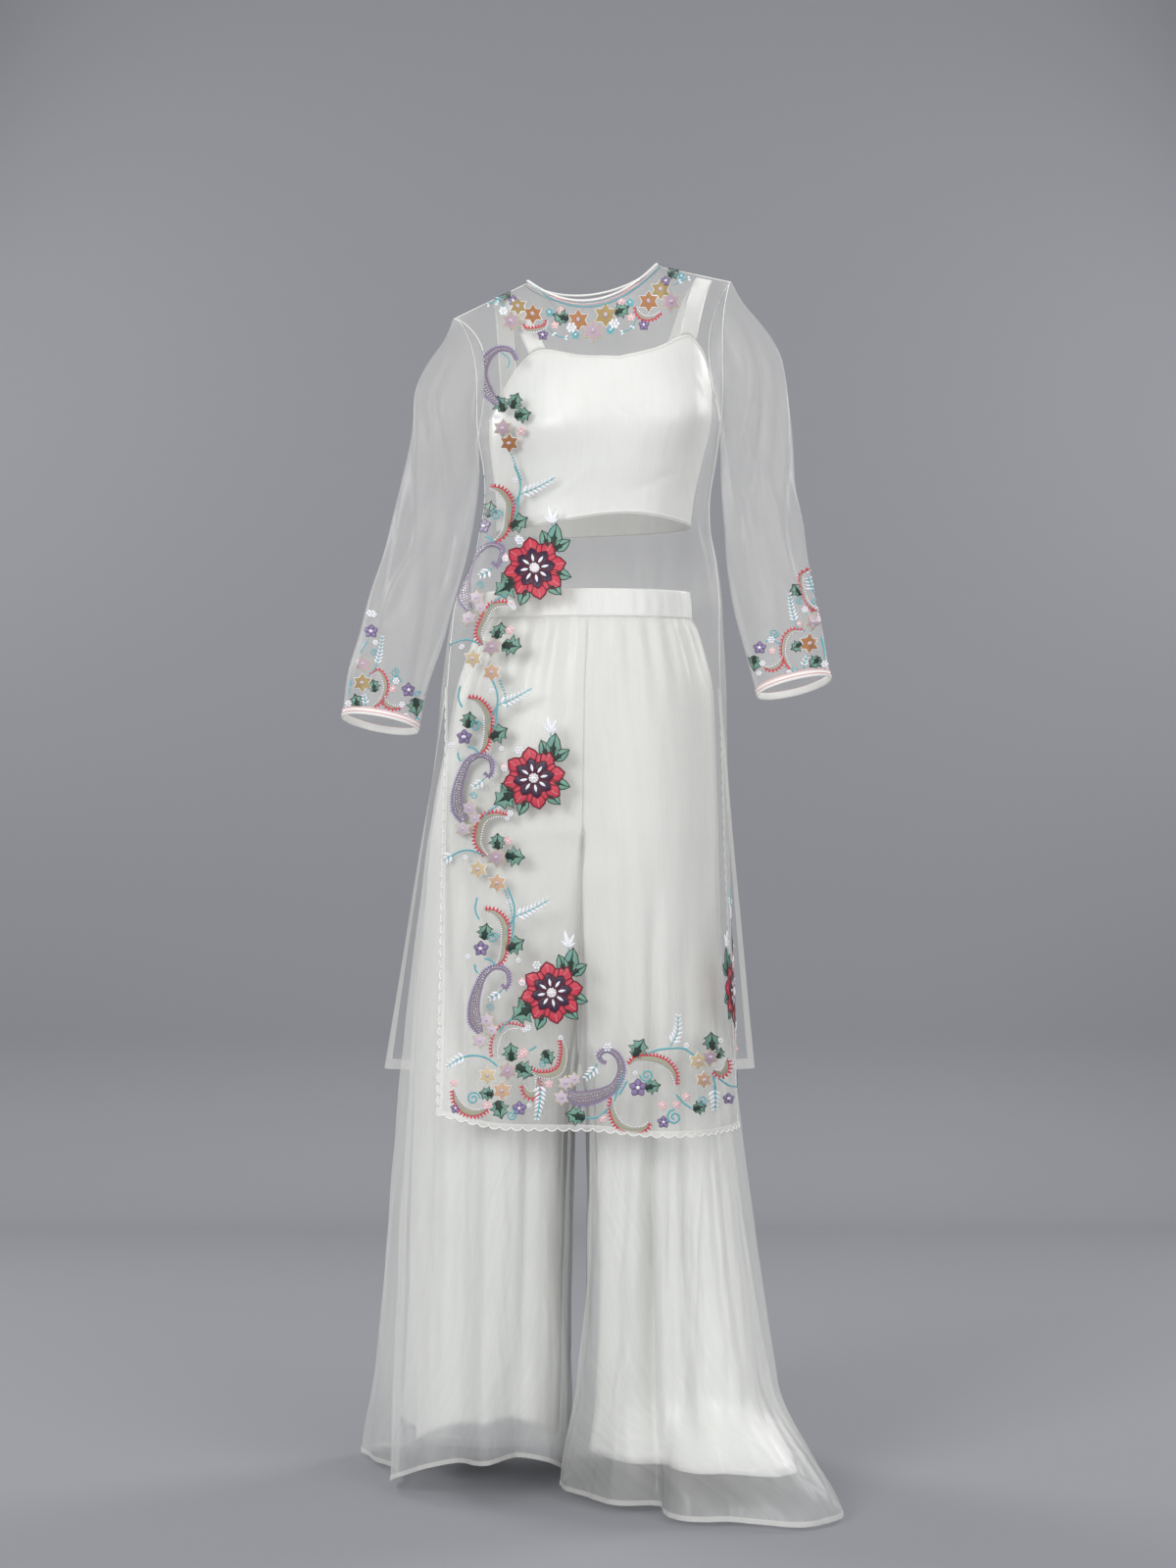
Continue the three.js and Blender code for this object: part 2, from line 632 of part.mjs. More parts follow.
function leg(name, side, lining) {
  const perStation = lining ? 3 : 4;
  const columns = 13 * perStation;
  const seamColumn = 10 * perStation;
  const upper = lining ? 2 : 4;
  const lower = lining ? 7 : 9;
  const points = [];
  const index = [];
  for (let row = 0; row <= upper + lower; row += 1) {
    const level = row <= upper ? row / upper : 1 + (row - upper) / lower;
    index.push([]);
    for (let column = 0; column < columns; column += 1) {
      if (row < upper && column > seamColumn) continue;
      index[row][column] = points.length;
      points.push(legPoint(side, column / perStation, level, lining));
    }
  }
  const faces = [];
  for (let row = 0; row < upper + lower; row += 1) {
    const last = row < upper ? seamColumn : columns;
    for (let column = 0; column < last; column += 1) {
      const next = (column + 1) % columns;
      const face = [index[row][column], index[row + 1][column], index[row + 1][next], index[row][next]];
      faces.push(side < 0 ? face.reverse() : face);
    }
  }
  return wall(name, points, faces, lining ? SATIN : SHEER, lining ? satin : organza);
}

// Share and level on the front panel for a place seen from the front
function findOnFront(x, height) {
  let share = x / 190;
  let level = mix(1, 3, (UNDERARM - height) / 850);
  for (let round = 0; round < 40; round += 1) {
    const at = kurtaPoint('front', share, level);
    share += (x - at[0]) / 400;
    level += (at[2] - height) / 1200;
  }
  return [share, level];
}

// The place on the flat faces of the front panel
function onFrontFaces(share, level) {
  const place = (share + 1) * 12;
  const column = Math.min(23, Math.max(0, Math.floor(place)));
  let row = KURTA_LEVELS.length - 2;
  while (row > 0 && KURTA_LEVELS[row] > level) row -= 1;
  const across = place - column;
  const down = (level - KURTA_LEVELS[row]) / (KURTA_LEVELS[row + 1] - KURTA_LEVELS[row]);
  const corner = (rowStep, columnStep) => {
    const point = kurtaPoint('front', (column + columnStep) / 12 - 1, KURTA_LEVELS[row + rowStep]);
    return new THREE.Vector3(...point);
  };
  const start = corner(0, 0);
  const end = corner(1, 1);
  const middle = down >= across ? corner(1, 0) : corner(0, 1);
  const first = middle.clone().sub(start).multiplyScalar(down >= across ? down : across);
  const second = end.sub(middle).multiplyScalar(down >= across ? across : down);
  return start.add(first).add(second);
}

// Eight-petalled flower that lies on the front panel
function flower(name, x, height) {
  const [share, level] = findOnFront(x, height);
  const at = kurtaPoint('front', share, level);
  const right = new THREE.Vector3(...kurtaPoint('front', share + 0.02, level)).sub(new THREE.Vector3(...at));
  const down = new THREE.Vector3(...kurtaPoint('front', share, level + 0.02)).sub(new THREE.Vector3(...at));
  const spot = (radius, turn) => {
    const stepAcross = 0.02 * radius * Math.cos(turn) / right.length();
    const stepDown = 0.02 * radius * Math.sin(turn) / down.length();
    const base = onFrontFaces(share + stepAcross, level - stepDown);
    const here = new THREE.Vector3(...kurtaPoint('front', share + stepAcross, level - stepDown));
    const a = new THREE.Vector3(...kurtaPoint('front', share + stepAcross + 0.02, level - stepDown));
    const b = new THREE.Vector3(...kurtaPoint('front', share + stepAcross, level - stepDown - 0.02));
    const out = a.sub(here).cross(b.sub(here)).normalize();
    return base.addScaledVector(out, FLOWER_LIFT).toArray();
  };
  const points = [spot(0, 0)];
  const faces = [];
  for (let step = 0; step < 24; step += 1) points.push(spot(FLOWER_RADIUS * 0.55, Math.PI * step / 12));
  for (let step = 0; step < 24; step += 1) {
    const turn = Math.PI * step / 12;
    points.push(spot(FLOWER_RADIUS * (step % 3 === 0 ? 0.86 : 1), turn));
  }
  for (let step = 0; step < 24; step += 1) {
    const next = (step + 1) % 24;
    faces.push([0, 1 + step, 1 + next]);
    faces.push([1 + step, 25 + step, 25 + next, 1 + next]);
  }
  return wall(name, points, faces, 1, thread);
}

const suit = new THREE.Group();
suit.name = 'palazzo_suit';
suit.add(kurtaPanel('front'));
suit.add(kurtaPanel('back'));
suit.add(sleeve('sleeve_right', -1));
suit.add(sleeve('sleeve_left', 1));
suit.add(cuffBand('cuff_band_right', -1));
suit.add(cuffBand('cuff_band_left', 1));
suit.add(neckBinding());
suit.add(camisole('front'));
suit.add(camisole('back'));
suit.add(strap('camisole_strap_right', 'right'));
suit.add(strap('camisole_strap_left', 'left'));
suit.add(waistband());
suit.add(leg('palazzo_outer_right', -1, false));
suit.add(leg('palazzo_outer_left', 1, false));
suit.add(leg('palazzo_lining_right', -1, true));
suit.add(leg('palazzo_lining_left', 1, true));
FLOWERS.forEach(([x, height], index) => suit.add(flower(`flower_${index + 1}`, x, height)));

export default suit;
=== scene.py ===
# %% [markdown]
# # A sheer palazzo suit
#
# The real outfit has four parts that are worn together: a long organza kurta with
# side slits and coloured embroidery, an opaque satin camisole with two straps, wide
# organza palazzo trousers, and the satin lining that shows through them. It hangs
# here as if it were worn, with nothing inside.
#
# The CAD frame has plain solids of one millimetre and more for each panel. They are
# right for size and for collision, but real organza is far thinner and finer than
# that. So each solid is replaced by a dense sheet on the same surface, and hems,
# seams, edging and embroidery are sewn on as geometry of their own.

import math

import bpy
import numpy as np
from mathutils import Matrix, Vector, kdtree


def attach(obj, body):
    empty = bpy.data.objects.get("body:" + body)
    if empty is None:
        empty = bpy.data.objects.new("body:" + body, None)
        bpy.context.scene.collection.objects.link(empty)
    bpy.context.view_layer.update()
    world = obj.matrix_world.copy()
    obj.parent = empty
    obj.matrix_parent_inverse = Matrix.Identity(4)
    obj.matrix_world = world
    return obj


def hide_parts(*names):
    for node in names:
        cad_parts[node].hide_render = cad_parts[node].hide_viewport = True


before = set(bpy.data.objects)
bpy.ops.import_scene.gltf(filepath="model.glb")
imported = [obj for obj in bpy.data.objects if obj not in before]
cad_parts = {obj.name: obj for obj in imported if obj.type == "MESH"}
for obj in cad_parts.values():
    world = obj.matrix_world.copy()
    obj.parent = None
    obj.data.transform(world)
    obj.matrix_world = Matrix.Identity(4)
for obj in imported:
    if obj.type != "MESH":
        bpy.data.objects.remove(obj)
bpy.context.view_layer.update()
print("CAD nodes:", len(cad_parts))

# %% [markdown]
# ## Camera
#
# The outfit is seen from the front, level, from four metres away, so upright lines
# stay upright. A long lens keeps the skirt and the shoulders in one even scale. The
# lens follows from the picture: 3280 pixels of picture for each metre at one metre,
# on a picture 1600 pixels high. Heights in this script count from the floor in
# millimetres, as a tailor would take them, and the origin of the frame is at the
# shoulder line, 1500 mm up.
#
# Two settings matter for sheer white cloth. A ray may pass many clear layers before
# it stops, or the folds behind one another would turn black. The Standard view
# transform keeps white white and the silks as they were dyed, where others would grey
# the cloth and dull the reds.

# %% Camera
MM = 0.001
HOLD_HEIGHT = 1500.0
PICTURE = (1200, 1600)
FOCAL_PX = 3280.0
EYE_DISTANCE = 4000.0
EYE_HEIGHT = 870.0
SENSOR_MM = 36.0
CLEAR_LAYERS = 24

camera_data = bpy.data.cameras.new("camera")
camera_data.sensor_fit = "VERTICAL"
camera_data.sensor_height = SENSOR_MM
camera_data.lens = SENSOR_MM * FOCAL_PX / PICTURE[1]
camera = bpy.data.objects.new("camera", camera_data)
bpy.context.scene.collection.objects.link(camera)
camera.location = (0.0, -EYE_DISTANCE * MM, (EYE_HEIGHT - HOLD_HEIGHT) * MM)
camera.rotation_euler = (math.pi / 2, 0.0, 0.0)
bpy.context.scene.camera = camera
bpy.context.scene.cycles.transparent_max_bounces = CLEAR_LAYERS
bpy.context.scene.view_settings.view_transform = "Standard"
print("lens, mm:", round(camera_data.lens, 1))


def to_picture(points):
    """Where points in millimetres from the floor land in the picture, in pixels."""
    away = EYE_DISTANCE + points[..., 1]
    across = PICTURE[0] / 2 + FOCAL_PX * points[..., 0] / away
    down = PICTURE[1] / 2 - FOCAL_PX * (points[..., 2] - EYE_HEIGHT) / away
    return np.stack([across, down], axis=-1)


# %% [markdown]
# ## Stage
#
# A studio sweep is one sheet of paper that runs along the floor and curves up into
# the wall. It is drawn as a profile that is pulled sideways. It is a flat, matt, pale
# grey. White paper would swallow the edges of white organza, and this grey is just
# dark enough to show them. Seen from its back the wall is clear, so the views from
# behind still show the outfit.

# %% A helper that adds a node and a helper for colours
def linear(code):
    """A colour such as f4f3ee, written as on a screen, in the linear values that nodes take."""
    channels = [int(code[place:place + 2], 16) / 255 for place in (0, 2, 4)]
    return tuple(
        value / 12.92 if value <= 0.04045 else ((value + 0.055) / 1.055) ** 2.4 for value in channels
    ) + (1.0,)


def add(tree, kind, settings=None, **links):
    """Adds a node, sets its properties, and sets or links its inputs by name."""
    node = tree.nodes.new(kind)
    for name, value in (settings or {}).items():
        setattr(node, name, value)
    for name, value in links.items():
        socket = node.inputs[int(name[1:])] if name[1:].isdigit() else node.inputs[name.replace("_", " ")]
        if isinstance(value, bpy.types.NodeSocket):
            tree.links.new(value, socket)
        else:
            socket.default_value = value
    return node


def new_material(name):
    """An empty node material and its output."""
    material = bpy.data.materials.new(name)
    material.use_nodes = True
    material.node_tree.nodes.clear()
    return material, material.node_tree


print("middle grey as linear light:", round(linear("808080")[0], 3))

# %% Sweep of paper
FLOOR = -HOLD_HEIGHT * MM
WALL_AT = 2.64
SWEEP_HALF = 7.0
SWEEP_FRONT = -9.0
WALL_HEIGHT = 5.5
BEND = 0.35
BEND_STEPS = 16

material, tree = new_material("studio_paper")
paper = add(tree, "ShaderNodeBsdfPrincipled", Base_Color=linear("929398"), Roughness=0.9)
clear = add(tree, "ShaderNodeBsdfTransparent")
facing = add(tree, "ShaderNodeNewGeometry")
mixed = add(
    tree, "ShaderNodeMixShader", _0=facing.outputs["Backfacing"], _1=paper.outputs[0], _2=clear.outputs[0]
)
add(tree, "ShaderNodeOutputMaterial", Surface=mixed.outputs[0])

profile = [(SWEEP_FRONT, FLOOR), (WALL_AT - BEND, FLOOR)]
for step in range(1, BEND_STEPS + 1):
    turn = math.pi / 2 * step / BEND_STEPS
    profile.append((WALL_AT - BEND + BEND * math.sin(turn), FLOOR + BEND * (1 - math.cos(turn))))
profile.append((WALL_AT, FLOOR + WALL_HEIGHT))
corners = [(side * SWEEP_HALF, y, z) for y, z in profile for side in (-1, 1)]
faces = [(2 * row, 2 * row + 1, 2 * row + 3, 2 * row + 2) for row in range(len(profile) - 1)]
sweep_mesh = bpy.data.meshes.new("studio_sweep")
sweep_mesh.from_pydata(corners, [], faces)
sweep_mesh.shade_smooth()
sweep_mesh.materials.append(material)
sweep = bpy.data.objects.new("studio_sweep", sweep_mesh)
bpy.context.scene.collection.objects.link(sweep)
print("sweep faces:", len(faces))

# %% [markdown]
# ## Light
#
# Large soft boxes give white cloth its shape without hard shadows. The key light is
# high on the left, a weaker one fills from the right, one above lights the shoulders,
# and one low behind each side rims the sheer sleeves and hems so that they stand off
# the paper. The world adds an even low grey.

# %% Soft boxes
LIGHTS = {
    "key": ((-2.4, -3.6, 0.9), 1.8, 106.0),
    "fill": ((2.2, -3.4, 0.3), 2.4, 62.0),
    "top": ((0.2, -0.6, 2.6), 1.6, 28.0),
    "rim_left": ((-2.2, 1.7, 0.6), 1.2, 40.0),
    "rim_right": ((2.2, 1.7, 0.6), 1.2, 40.0),
}
AIM = (0.0, 0.0, -0.75)
for name, (place, size, power) in LIGHTS.items():
    light_data = bpy.data.lights.new(name, "AREA")
    light_data.size = size
    light_data.energy = power
    light = bpy.data.objects.new(name, light_data)
    light.location = place
    away = [a - b for a, b in zip(place, AIM)]
    tilt = math.atan2(math.hypot(away[0], away[1]), away[2])
    light.rotation_euler = (tilt, 0.0, math.atan2(away[1], away[0]) + math.pi / 2)
    bpy.context.scene.collection.objects.link(light)

world = bpy.data.worlds.new("studio")
world.use_nodes = True
background = next(node for node in world.node_tree.nodes if node.type == "BACKGROUND")
background.inputs["Color"].default_value = linear("c9cbd0")
background.inputs["Strength"].default_value = 0.36
bpy.context.scene.world = world
print("lights:", len(LIGHTS))

# %% [markdown]
# ## The pattern of the outfit
#
# A garment is a set of panels, and each panel is a surface with its own two
# directions, like longitude and latitude. The tables below are the same body rings,
# hem lines and folds that the solids were built from. Each surface is a function of
# arrays, so one call gives a whole dense grid of points at once, and the same call
# later finds where a petal or a bead lies on the cloth.

# %% Tables of the kurta
SEAM = 0.3
UNDERARM = 1309.0
SLIT_TOP = 990.0
PANEL_HALF = 89.93
ARMHOLE_CURVE = 0.25
NECK_SHARE = 5 / 12
NECK = {-1: (-77.0, 1492.0), 1: (88.0, 1513.0)}
TIP = {-1: (-167.0, 1448.0), 1: (178.0, 1494.0)}
NECK_CUT = {"front": (70.0, 44.0), "back": (62.0, 18.0)}

# height, centre x, half width, half depth, turn in degrees, rise per mm across
KURTA_SECTIONS = [
    [990, -4, 176, 142, 15, 0], [1060, -2, 170, 136, 12, 0], [1100, 1, 165, 128, 9, 0],
    [1146, 8, 152, 116, 7, 0.01], [1183, 8.5, 144, 108, 6, 0.02], [1220, 11.5, 141, 106, 7, 0.04],
    [1262, 15, 145, 114, 8, 0.06], [1309, 15, 152.5, 126, 9, 0.08],
]
# share across the panel, x, y, height
KURTA_HEM = {
    "front": [
        [-1, -178, -140, 475], [-0.75, -116, -152, 462], [-0.5, -53, -161, 460],
        [-0.25, 10, -166, 459], [0, 72, -165, 453], [0.25, 132, -150, 452], [0.5, 169, -105, 452],
        [0.75, 182, -44, 455], [1, 186, 20, 462],
    ],
    "back": [
        [-1, -265, 185, 500], [-0.75, -208, 203, 495], [-0.5, -148, 212, 490],
        [-0.25, -86, 217, 488], [0, -24, 219, 488], [0.25, 37, 217, 488], [0.5, 98, 212, 490],
        [0.75, 158, 203, 495], [1, 217, 185, 500],
    ],
}
# share across, width as a share, depth outward at the hem
KURTA_FOLDS = {
    "front": [[-0.62, 0.13, 5], [-0.28, 0.11, -4], [0.1, 0.13, 5], [0.42, 0.1, -4], [0.68, 0.1, 4]],
    "back": [[-0.7, 0.12, 6], [-0.35, 0.12, -6], [0, 0.12, 6], [0.35, 0.12, -6], [0.7, 0.12, 6]],
}
print("rings round the kurta:", len(KURTA_SECTIONS))

# %% Tables of the sleeves and the camisole
# height, centre x, centre y, half width, half depth, forward lean, side slope, degrees
SLEEVES = {
    -1: [
        [952, -254, -48, 48, 33, 17, 10], [1000, -246, -34, 50, 38, 17, 8],
        [1050, -231, -19, 52, 42, 15, 6], [1100, -219, -8, 53, 46, 10, 5],
        [1150, -204, -2, 52, 50, 5, 5], [1200, -192, 2, 51, 53, 2, 5],
        [1250, -182, -2, 48, 55, 0, 5], [1300, -176, -9, 43, 56, 0, 5],
        [1345, -174, -13, 40, 55, 0, 5], [1400, -160, -14, 40, 52, 0, 5],
        [1450, -150, -12, 34, 44, 0, 5],
    ],
    1: [
        [997, 252, -42, 47, 33, 17, 13], [1040, 242, -28, 48, 37, 17, 12],
        [1090, 230, -14, 49, 42, 15, 11], [1140, 222, -4, 49, 47, 8, 10],
        [1190, 218, 2, 48, 51, 3, 9], [1240, 212, 6, 47, 54, 0, 9], [1290, 210, 10, 46, 56, 0, 9],
        [1340, 206, 14, 45, 56, 0, 9], [1390, 200, 14, 41, 55, 0, 9], [1440, 188, 12, 38, 50, 0, 9],
        [1495, 176, 10, 32, 42, 0, 9],
    ],
}
ARMHOLE_GAP = 1.3
CAMISOLE_SECTIONS = [
    [1180, 6, 121, 90, 6, 0.03], [1220, 9, 123, 93, 7, 0.04], [1262, 12, 130, 100, 8, 0.06],
    [1309, 15, 138, 104, 9.5, 0.08], [1350, 16, 137, 98, 10, 0.1], [1385, 16, 133, 88, 10, 0.11],
    [1415, 15, 128, 76, 10, 0.12],
]
# angle from the middle of the front, height of the upper edge
CAMISOLE_TOP = [[0, 1389], [20, 1396], [46, 1411], [60, 1395], [75, 1360], [90, 1338], [180, 1330]]
CAMISOLE_HALF = 89.85
CAMISOLE_HEM = 1184.0
CUP = {"out": 12.5, "angle": 36, "spread": 20, "height": 1312, "tall": 36}
# shoulder x, shoulder height, slope across the shoulder, angle on the front edge, on the back edge
STRAPS = {"right": (-107, 1473.9, 0.48, -47, -134), "left": (145, 1497.9, -0.2, 47, 140)}
STRAP_WIDTH = 20.0
print("rings round a sleeve:", len(SLEEVES[1]), "and round the camisole:", len(CAMISOLE_SECTIONS))

# %% Tables of the trousers
# stations 0 to 10 run round the outside of a leg from front to back, 10 to 13 come back inside
STATIONS = 13
INNER_FROM = 10.0
WAIST_SEAM = 1074.0
WAIST_TOP = 1108.0
WAIST_HALF = ((127.0, 95.0), (129.5, 97.5))
CROTCH = 810.0
CROTCH_DIP = 40.0
LINING_RISE = 45.0
LEG_FLARE = {-1: 0.75, 1: 1.85}
TRAIN_START = 0.84
# height, centre x, half width to the wearer's right, to the left, half depth
HIP_SECTIONS = [
    [810, -6, 191, 168, 125], [870, -6, 181, 166, 122], [930, -5, 169, 163, 118],
    [990, -4, 158, 158, 112], [1030, -2, 146, 146, 106], [1074, 0, 130, 130, 98],
]
# x, y, height of the hem at each of 13 stations, then what the hem spreads on the floor
LEG_HEM = {
    -1: [
        [-32, -35, 26, 0, 0], [-75, -88, 50, 0, 0], [-130, -108, 47, 0, 0], [-190, -85, 38, 0, 0],
        [-235, -30, 10, 0, 0], [-255, 40, 8, 0, 0], [-263, 115, 6, -12, 50], [-232, 190, 8, -5, 12],
        [-165, 225, 8, 0, 0], [-95, 215, 8, 0, 0], [-45, 165, 10, 0, 0], [-26, 90, 12, 0, 0],
        [-24, 25, 18, 0, 0],
    ],
    1: [
        [-14, -70, 12, -16, 0], [25, -128, 10, 0, -12], [85, -165, 8, 5, -35],
        [150, -180, 6, 17, -70], [215, -155, 5, 55, -75], [246, -90, 5, 48, -60],
        [255, 0, 5, 28, 0], [245, 95, 5, 24, 20], [210, 190, 6, 35, 40], [150, 225, 8, 0, 12],
        [70, 218, 8, 0, 0], [15, 140, 10, 0, 0], [-4, 40, 12, 0, 0],
    ],
}
# station, width in stations, depth at the hem, share of the leg where the fold starts
LEG_FOLDS = {
    -1: [
        [0.75, 0.45, 12, 0.1], [1.25, 0.35, -12, 0.1], [1.9, 0.45, 16, 0.05], [2.5, 0.4, -14, 0.05],
        [3.6, 0.55, 18, 0], [4.9, 0.5, -16, 0.05], [6.0, 0.5, 16, 0.1], [6.75, 0.4, -14, 0.1],
        [7.5, 0.45, 16, 0.1], [8.4, 0.45, -15, 0.1], [9.25, 0.45, 14, 0.1], [10.25, 0.4, -8, 0.3],
    ],
    1: [
        [0.2, 0.4, 5, 0.3], [1.15, 0.4, 16, 0.2], [1.7, 0.35, -24, 0.1], [2.35, 0.45, 18, 0.2],
        [3.0, 0.35, -16, 0.4], [3.8, 0.4, 16, 0.3], [4.5, 0.4, 12, 0.5], [6.2, 0.5, -14, 0.3],
        [7.1, 0.45, 14, 0.2], [7.6, 0.4, -12, 0.2], [8.0, 0.4, 12, 0.2], [8.6, 0.4, -14, 0.2],
        [9.2, 0.4, 12, 0.2],
    ],
}
# station, how far the lining hangs inside the outer leg at the hem
LINING_INSET = {
    -1: [[0, 22], [1.5, 18], [3, 22], [4.5, 34], [6, 38], [8, 26], [10, 16], [13, 16]],
    1: [[0, 30], [1, 22], [2, 26], [3, 32], [4, 27], [6, 24], [8, 22], [10, 16], [12, 24], [13, 30]],
}
print("stations of a leg:", len(LEG_HEM[1]))

# %% [markdown]
# A table gives a few measured rows, and cloth runs smoothly between them. Hermite
# curves pass through each row with a slope taken from its neighbours. A hem that
# comes round to its start is a closed curve of the same family. A fold is a soft
# ridge: a bell curve across the cloth that grows towards the hem.

# %% Curves through tables
def along(table, at):
    """Every column of a table at many values of its first column."""
    rows = np.asarray(table, float)
    at = np.asarray(at, float)
    keys = rows[:, 0]
    last = len(rows) - 1
    low = np.clip(np.searchsorted(keys, at) - 1, 0, last - 1)
    before = np.maximum(np.arange(len(rows)) - 1, 0)
    after = np.minimum(np.arange(len(rows)) + 1, last)
    slopes = (rows[after] - rows[before]) / (keys[after] - keys[before])[:, None]
    step = (keys[low + 1] - keys[low])[..., None]
    t = np.clip((at - keys[low])[..., None] / step, 0, 1)
    a = 2 * t**3 - 3 * t**2 + 1
    b = t**3 - 2 * t**2 + t
    c = t**3 - t**2
    ends = a * rows[low] + (1 - a) * rows[low + 1]
    return np.moveaxis(ends + step * (b * slopes[low] + c * slopes[low + 1]), -1, 0)


def round_at(table, station):
    """Every column of a closed list of stations."""
    rows = np.asarray(table, float)
    first = np.floor(station).astype(int)
    t = (station - first)[..., None]
    before, here, after, next_one = (rows[(first + step) % len(rows)] for step in (-1, 0, 1, 2))
    bend = 2 * before - 5 * here + 4 * after - next_one
    twist = 3 * here - before - 3 * after + next_one
    return np.moveaxis(here + 0.5 * t * (after - before + t * (bend + t * twist)), -1, 0)


def mix(a, b, share):
    return a + (b - a) * share


def smooth(value):
    held = np.clip(value, 0, 1)
    return held**2 * (3 - 2 * held)


def bells(folds, place):
    return sum(depth * np.exp(-(((place - centre) / width) ** 2)) for centre, width, depth in folds)


def point(x, y, z):
    return np.stack(np.broadcast_arrays(x, y, z), axis=-1)


print("half width of the kurta at 1150 mm, mm:", round(float(along(KURTA_SECTIONS, 1150.0)[2]), 1))

# %% Surface of the kurta body
def body_point(table, height, angle, out=0.0):
    """A point on an oval ring; the angle starts at the front and grows to the wearer's left."""
    _, centre, half_width, half_depth, turn, rise = along(table, height)
    around = np.radians(angle + turn)
    x = centre + (half_width + out) * np.sin(around)
    return point(x, -(half_depth + out) * np.cos(around), height + rise * (x - centre))


def panel_angle(face, share):
    return PANEL_HALF * share if face == "front" else 180 - PANEL_HALF * share


def top_edge(face, share):
    """The neckline, and the shoulder seams beside it."""
    side = -1 if face == "front" else 1
    reach, drop = NECK_CUT[face]
    right = share < 0
    neck_x, neck_z = (np.where(right, NECK[-1][axis], NECK[1][axis]) for axis in (0, 1))
    tip_x, tip_z = (np.where(right, TIP[-1][axis], TIP[1][axis]) for axis in (0, 1))
    out = np.clip((np.abs(share) - NECK_SHARE) / (1 - NECK_SHARE), 0, 1)
    shoulder = point(mix(neck_x, tip_x, out), side * SEAM / 2, mix(neck_z, tip_z, out))
    around = math.pi / 2 * np.clip(share / NECK_SHARE, -1, 1)
    dip = np.maximum(np.cos(around), 0)
    over = (np.sin(around) + 1) / 2
    neck = point(
        mix(NECK[-1][0], NECK[1][0], over),
        side * (SEAM / 2 + reach * dip),
        mix(NECK[-1][1], NECK[1][1], over) - drop * dip**1.8,
    )
    return np.where((np.abs(share) >= NECK_SHARE)[..., None], shoulder, neck)


def kurta_point(face, share, level):
    """Level 0 is the top edge, 1 the underarm, 2 the top of the slits and 3 the hem."""
    share, level = np.broadcast_arrays(np.asarray(share, float), np.asarray(level, float))
    up = np.clip(1 - level, 0, 1)
    curved = share * (1 - ARMHOLE_CURVE * np.sin(math.pi * up))
    low = body_point(KURTA_SECTIONS, np.full(share.shape, UNDERARM), panel_angle(face, curved))
    high = top_edge(face, share)
    side = smooth(np.abs(share) / NECK_SHARE)
    rise = mix(up, np.sin(math.pi / 2 * up), side)
    lean = mix(up**1.3, 1 - np.cos(math.pi / 2 * up), side)
    ways = enumerate((up**1.8, lean, rise))
    upper = np.stack([mix(low[..., axis], high[..., axis], part) for axis, part in ways], axis=-1)
    angle = panel_angle(face, share)
    height = mix(UNDERARM, SLIT_TOP, np.clip(level - 1, 0, 1))
    middle = body_point(KURTA_SECTIONS, height, angle)
    down = np.clip(level - 2, 0, None)
    _, hem_x, hem_y, hem_z = along(KURTA_HEM[face], share)
    spread = down**1.3 if face == "front" else down
    fold = bells(KURTA_FOLDS[face], share) * smooth(down)
    around = np.radians(angle + KURTA_SECTIONS[0][4])
    lower = point(
        mix(middle[..., 0], hem_x, spread) + fold * np.sin(around),
        mix(middle[..., 1], hem_y, spread) - fold * np.cos(around),
        mix(middle[..., 2], hem_z, down),
    )
    return np.where((level < 1)[..., None], upper, lower)


print("left side seam at the underarm, mm:", np.round(kurta_point("front", 1.0, 1.0)).tolist())

# %% Surface of a sleeve
# the left underarm is this much higher than the middle, and the right one this much lower
UNDERARM_TILT = 12.0
# shares of the sleeve's length: where it runs beside the body, and where it leaves the armhole
BESIDE_BODY = 0.6
CAP = 0.2
# millimetres between a sleeve and the body of the kurta, before and after it meets the armhole
HANG_GAP = 4.0
SET_GAP = 2.5


def armhole(side, around):
    face_front = around <= 0.5
    level = np.where(face_front, 2 * around, 2 - 2 * around)
    share = np.full(level.shape, float(side))
    edge = [kurta_point(face, share, level) for face in ("front", "back")]
    return np.where(face_front[..., None], *edge)


def clear_of_body(side, points, gap):
    """Keeps a sleeve clear of the kurta body beside it."""
    level = np.minimum(points[..., 2] - side * UNDERARM_TILT, UNDERARM)
    _, centre, half_width, half_depth, _, _ = along(KURTA_SECTIONS, level)
    share = 1 - (points[..., 1] / half_depth) ** 2
    limit = side * centre + half_width * np.sqrt(np.clip(share, 0, None)) + gap
    x = np.where(share > 0, side * np.maximum(side * points[..., 0], limit), points[..., 0])
    return point(x, points[..., 1], points[..., 2])


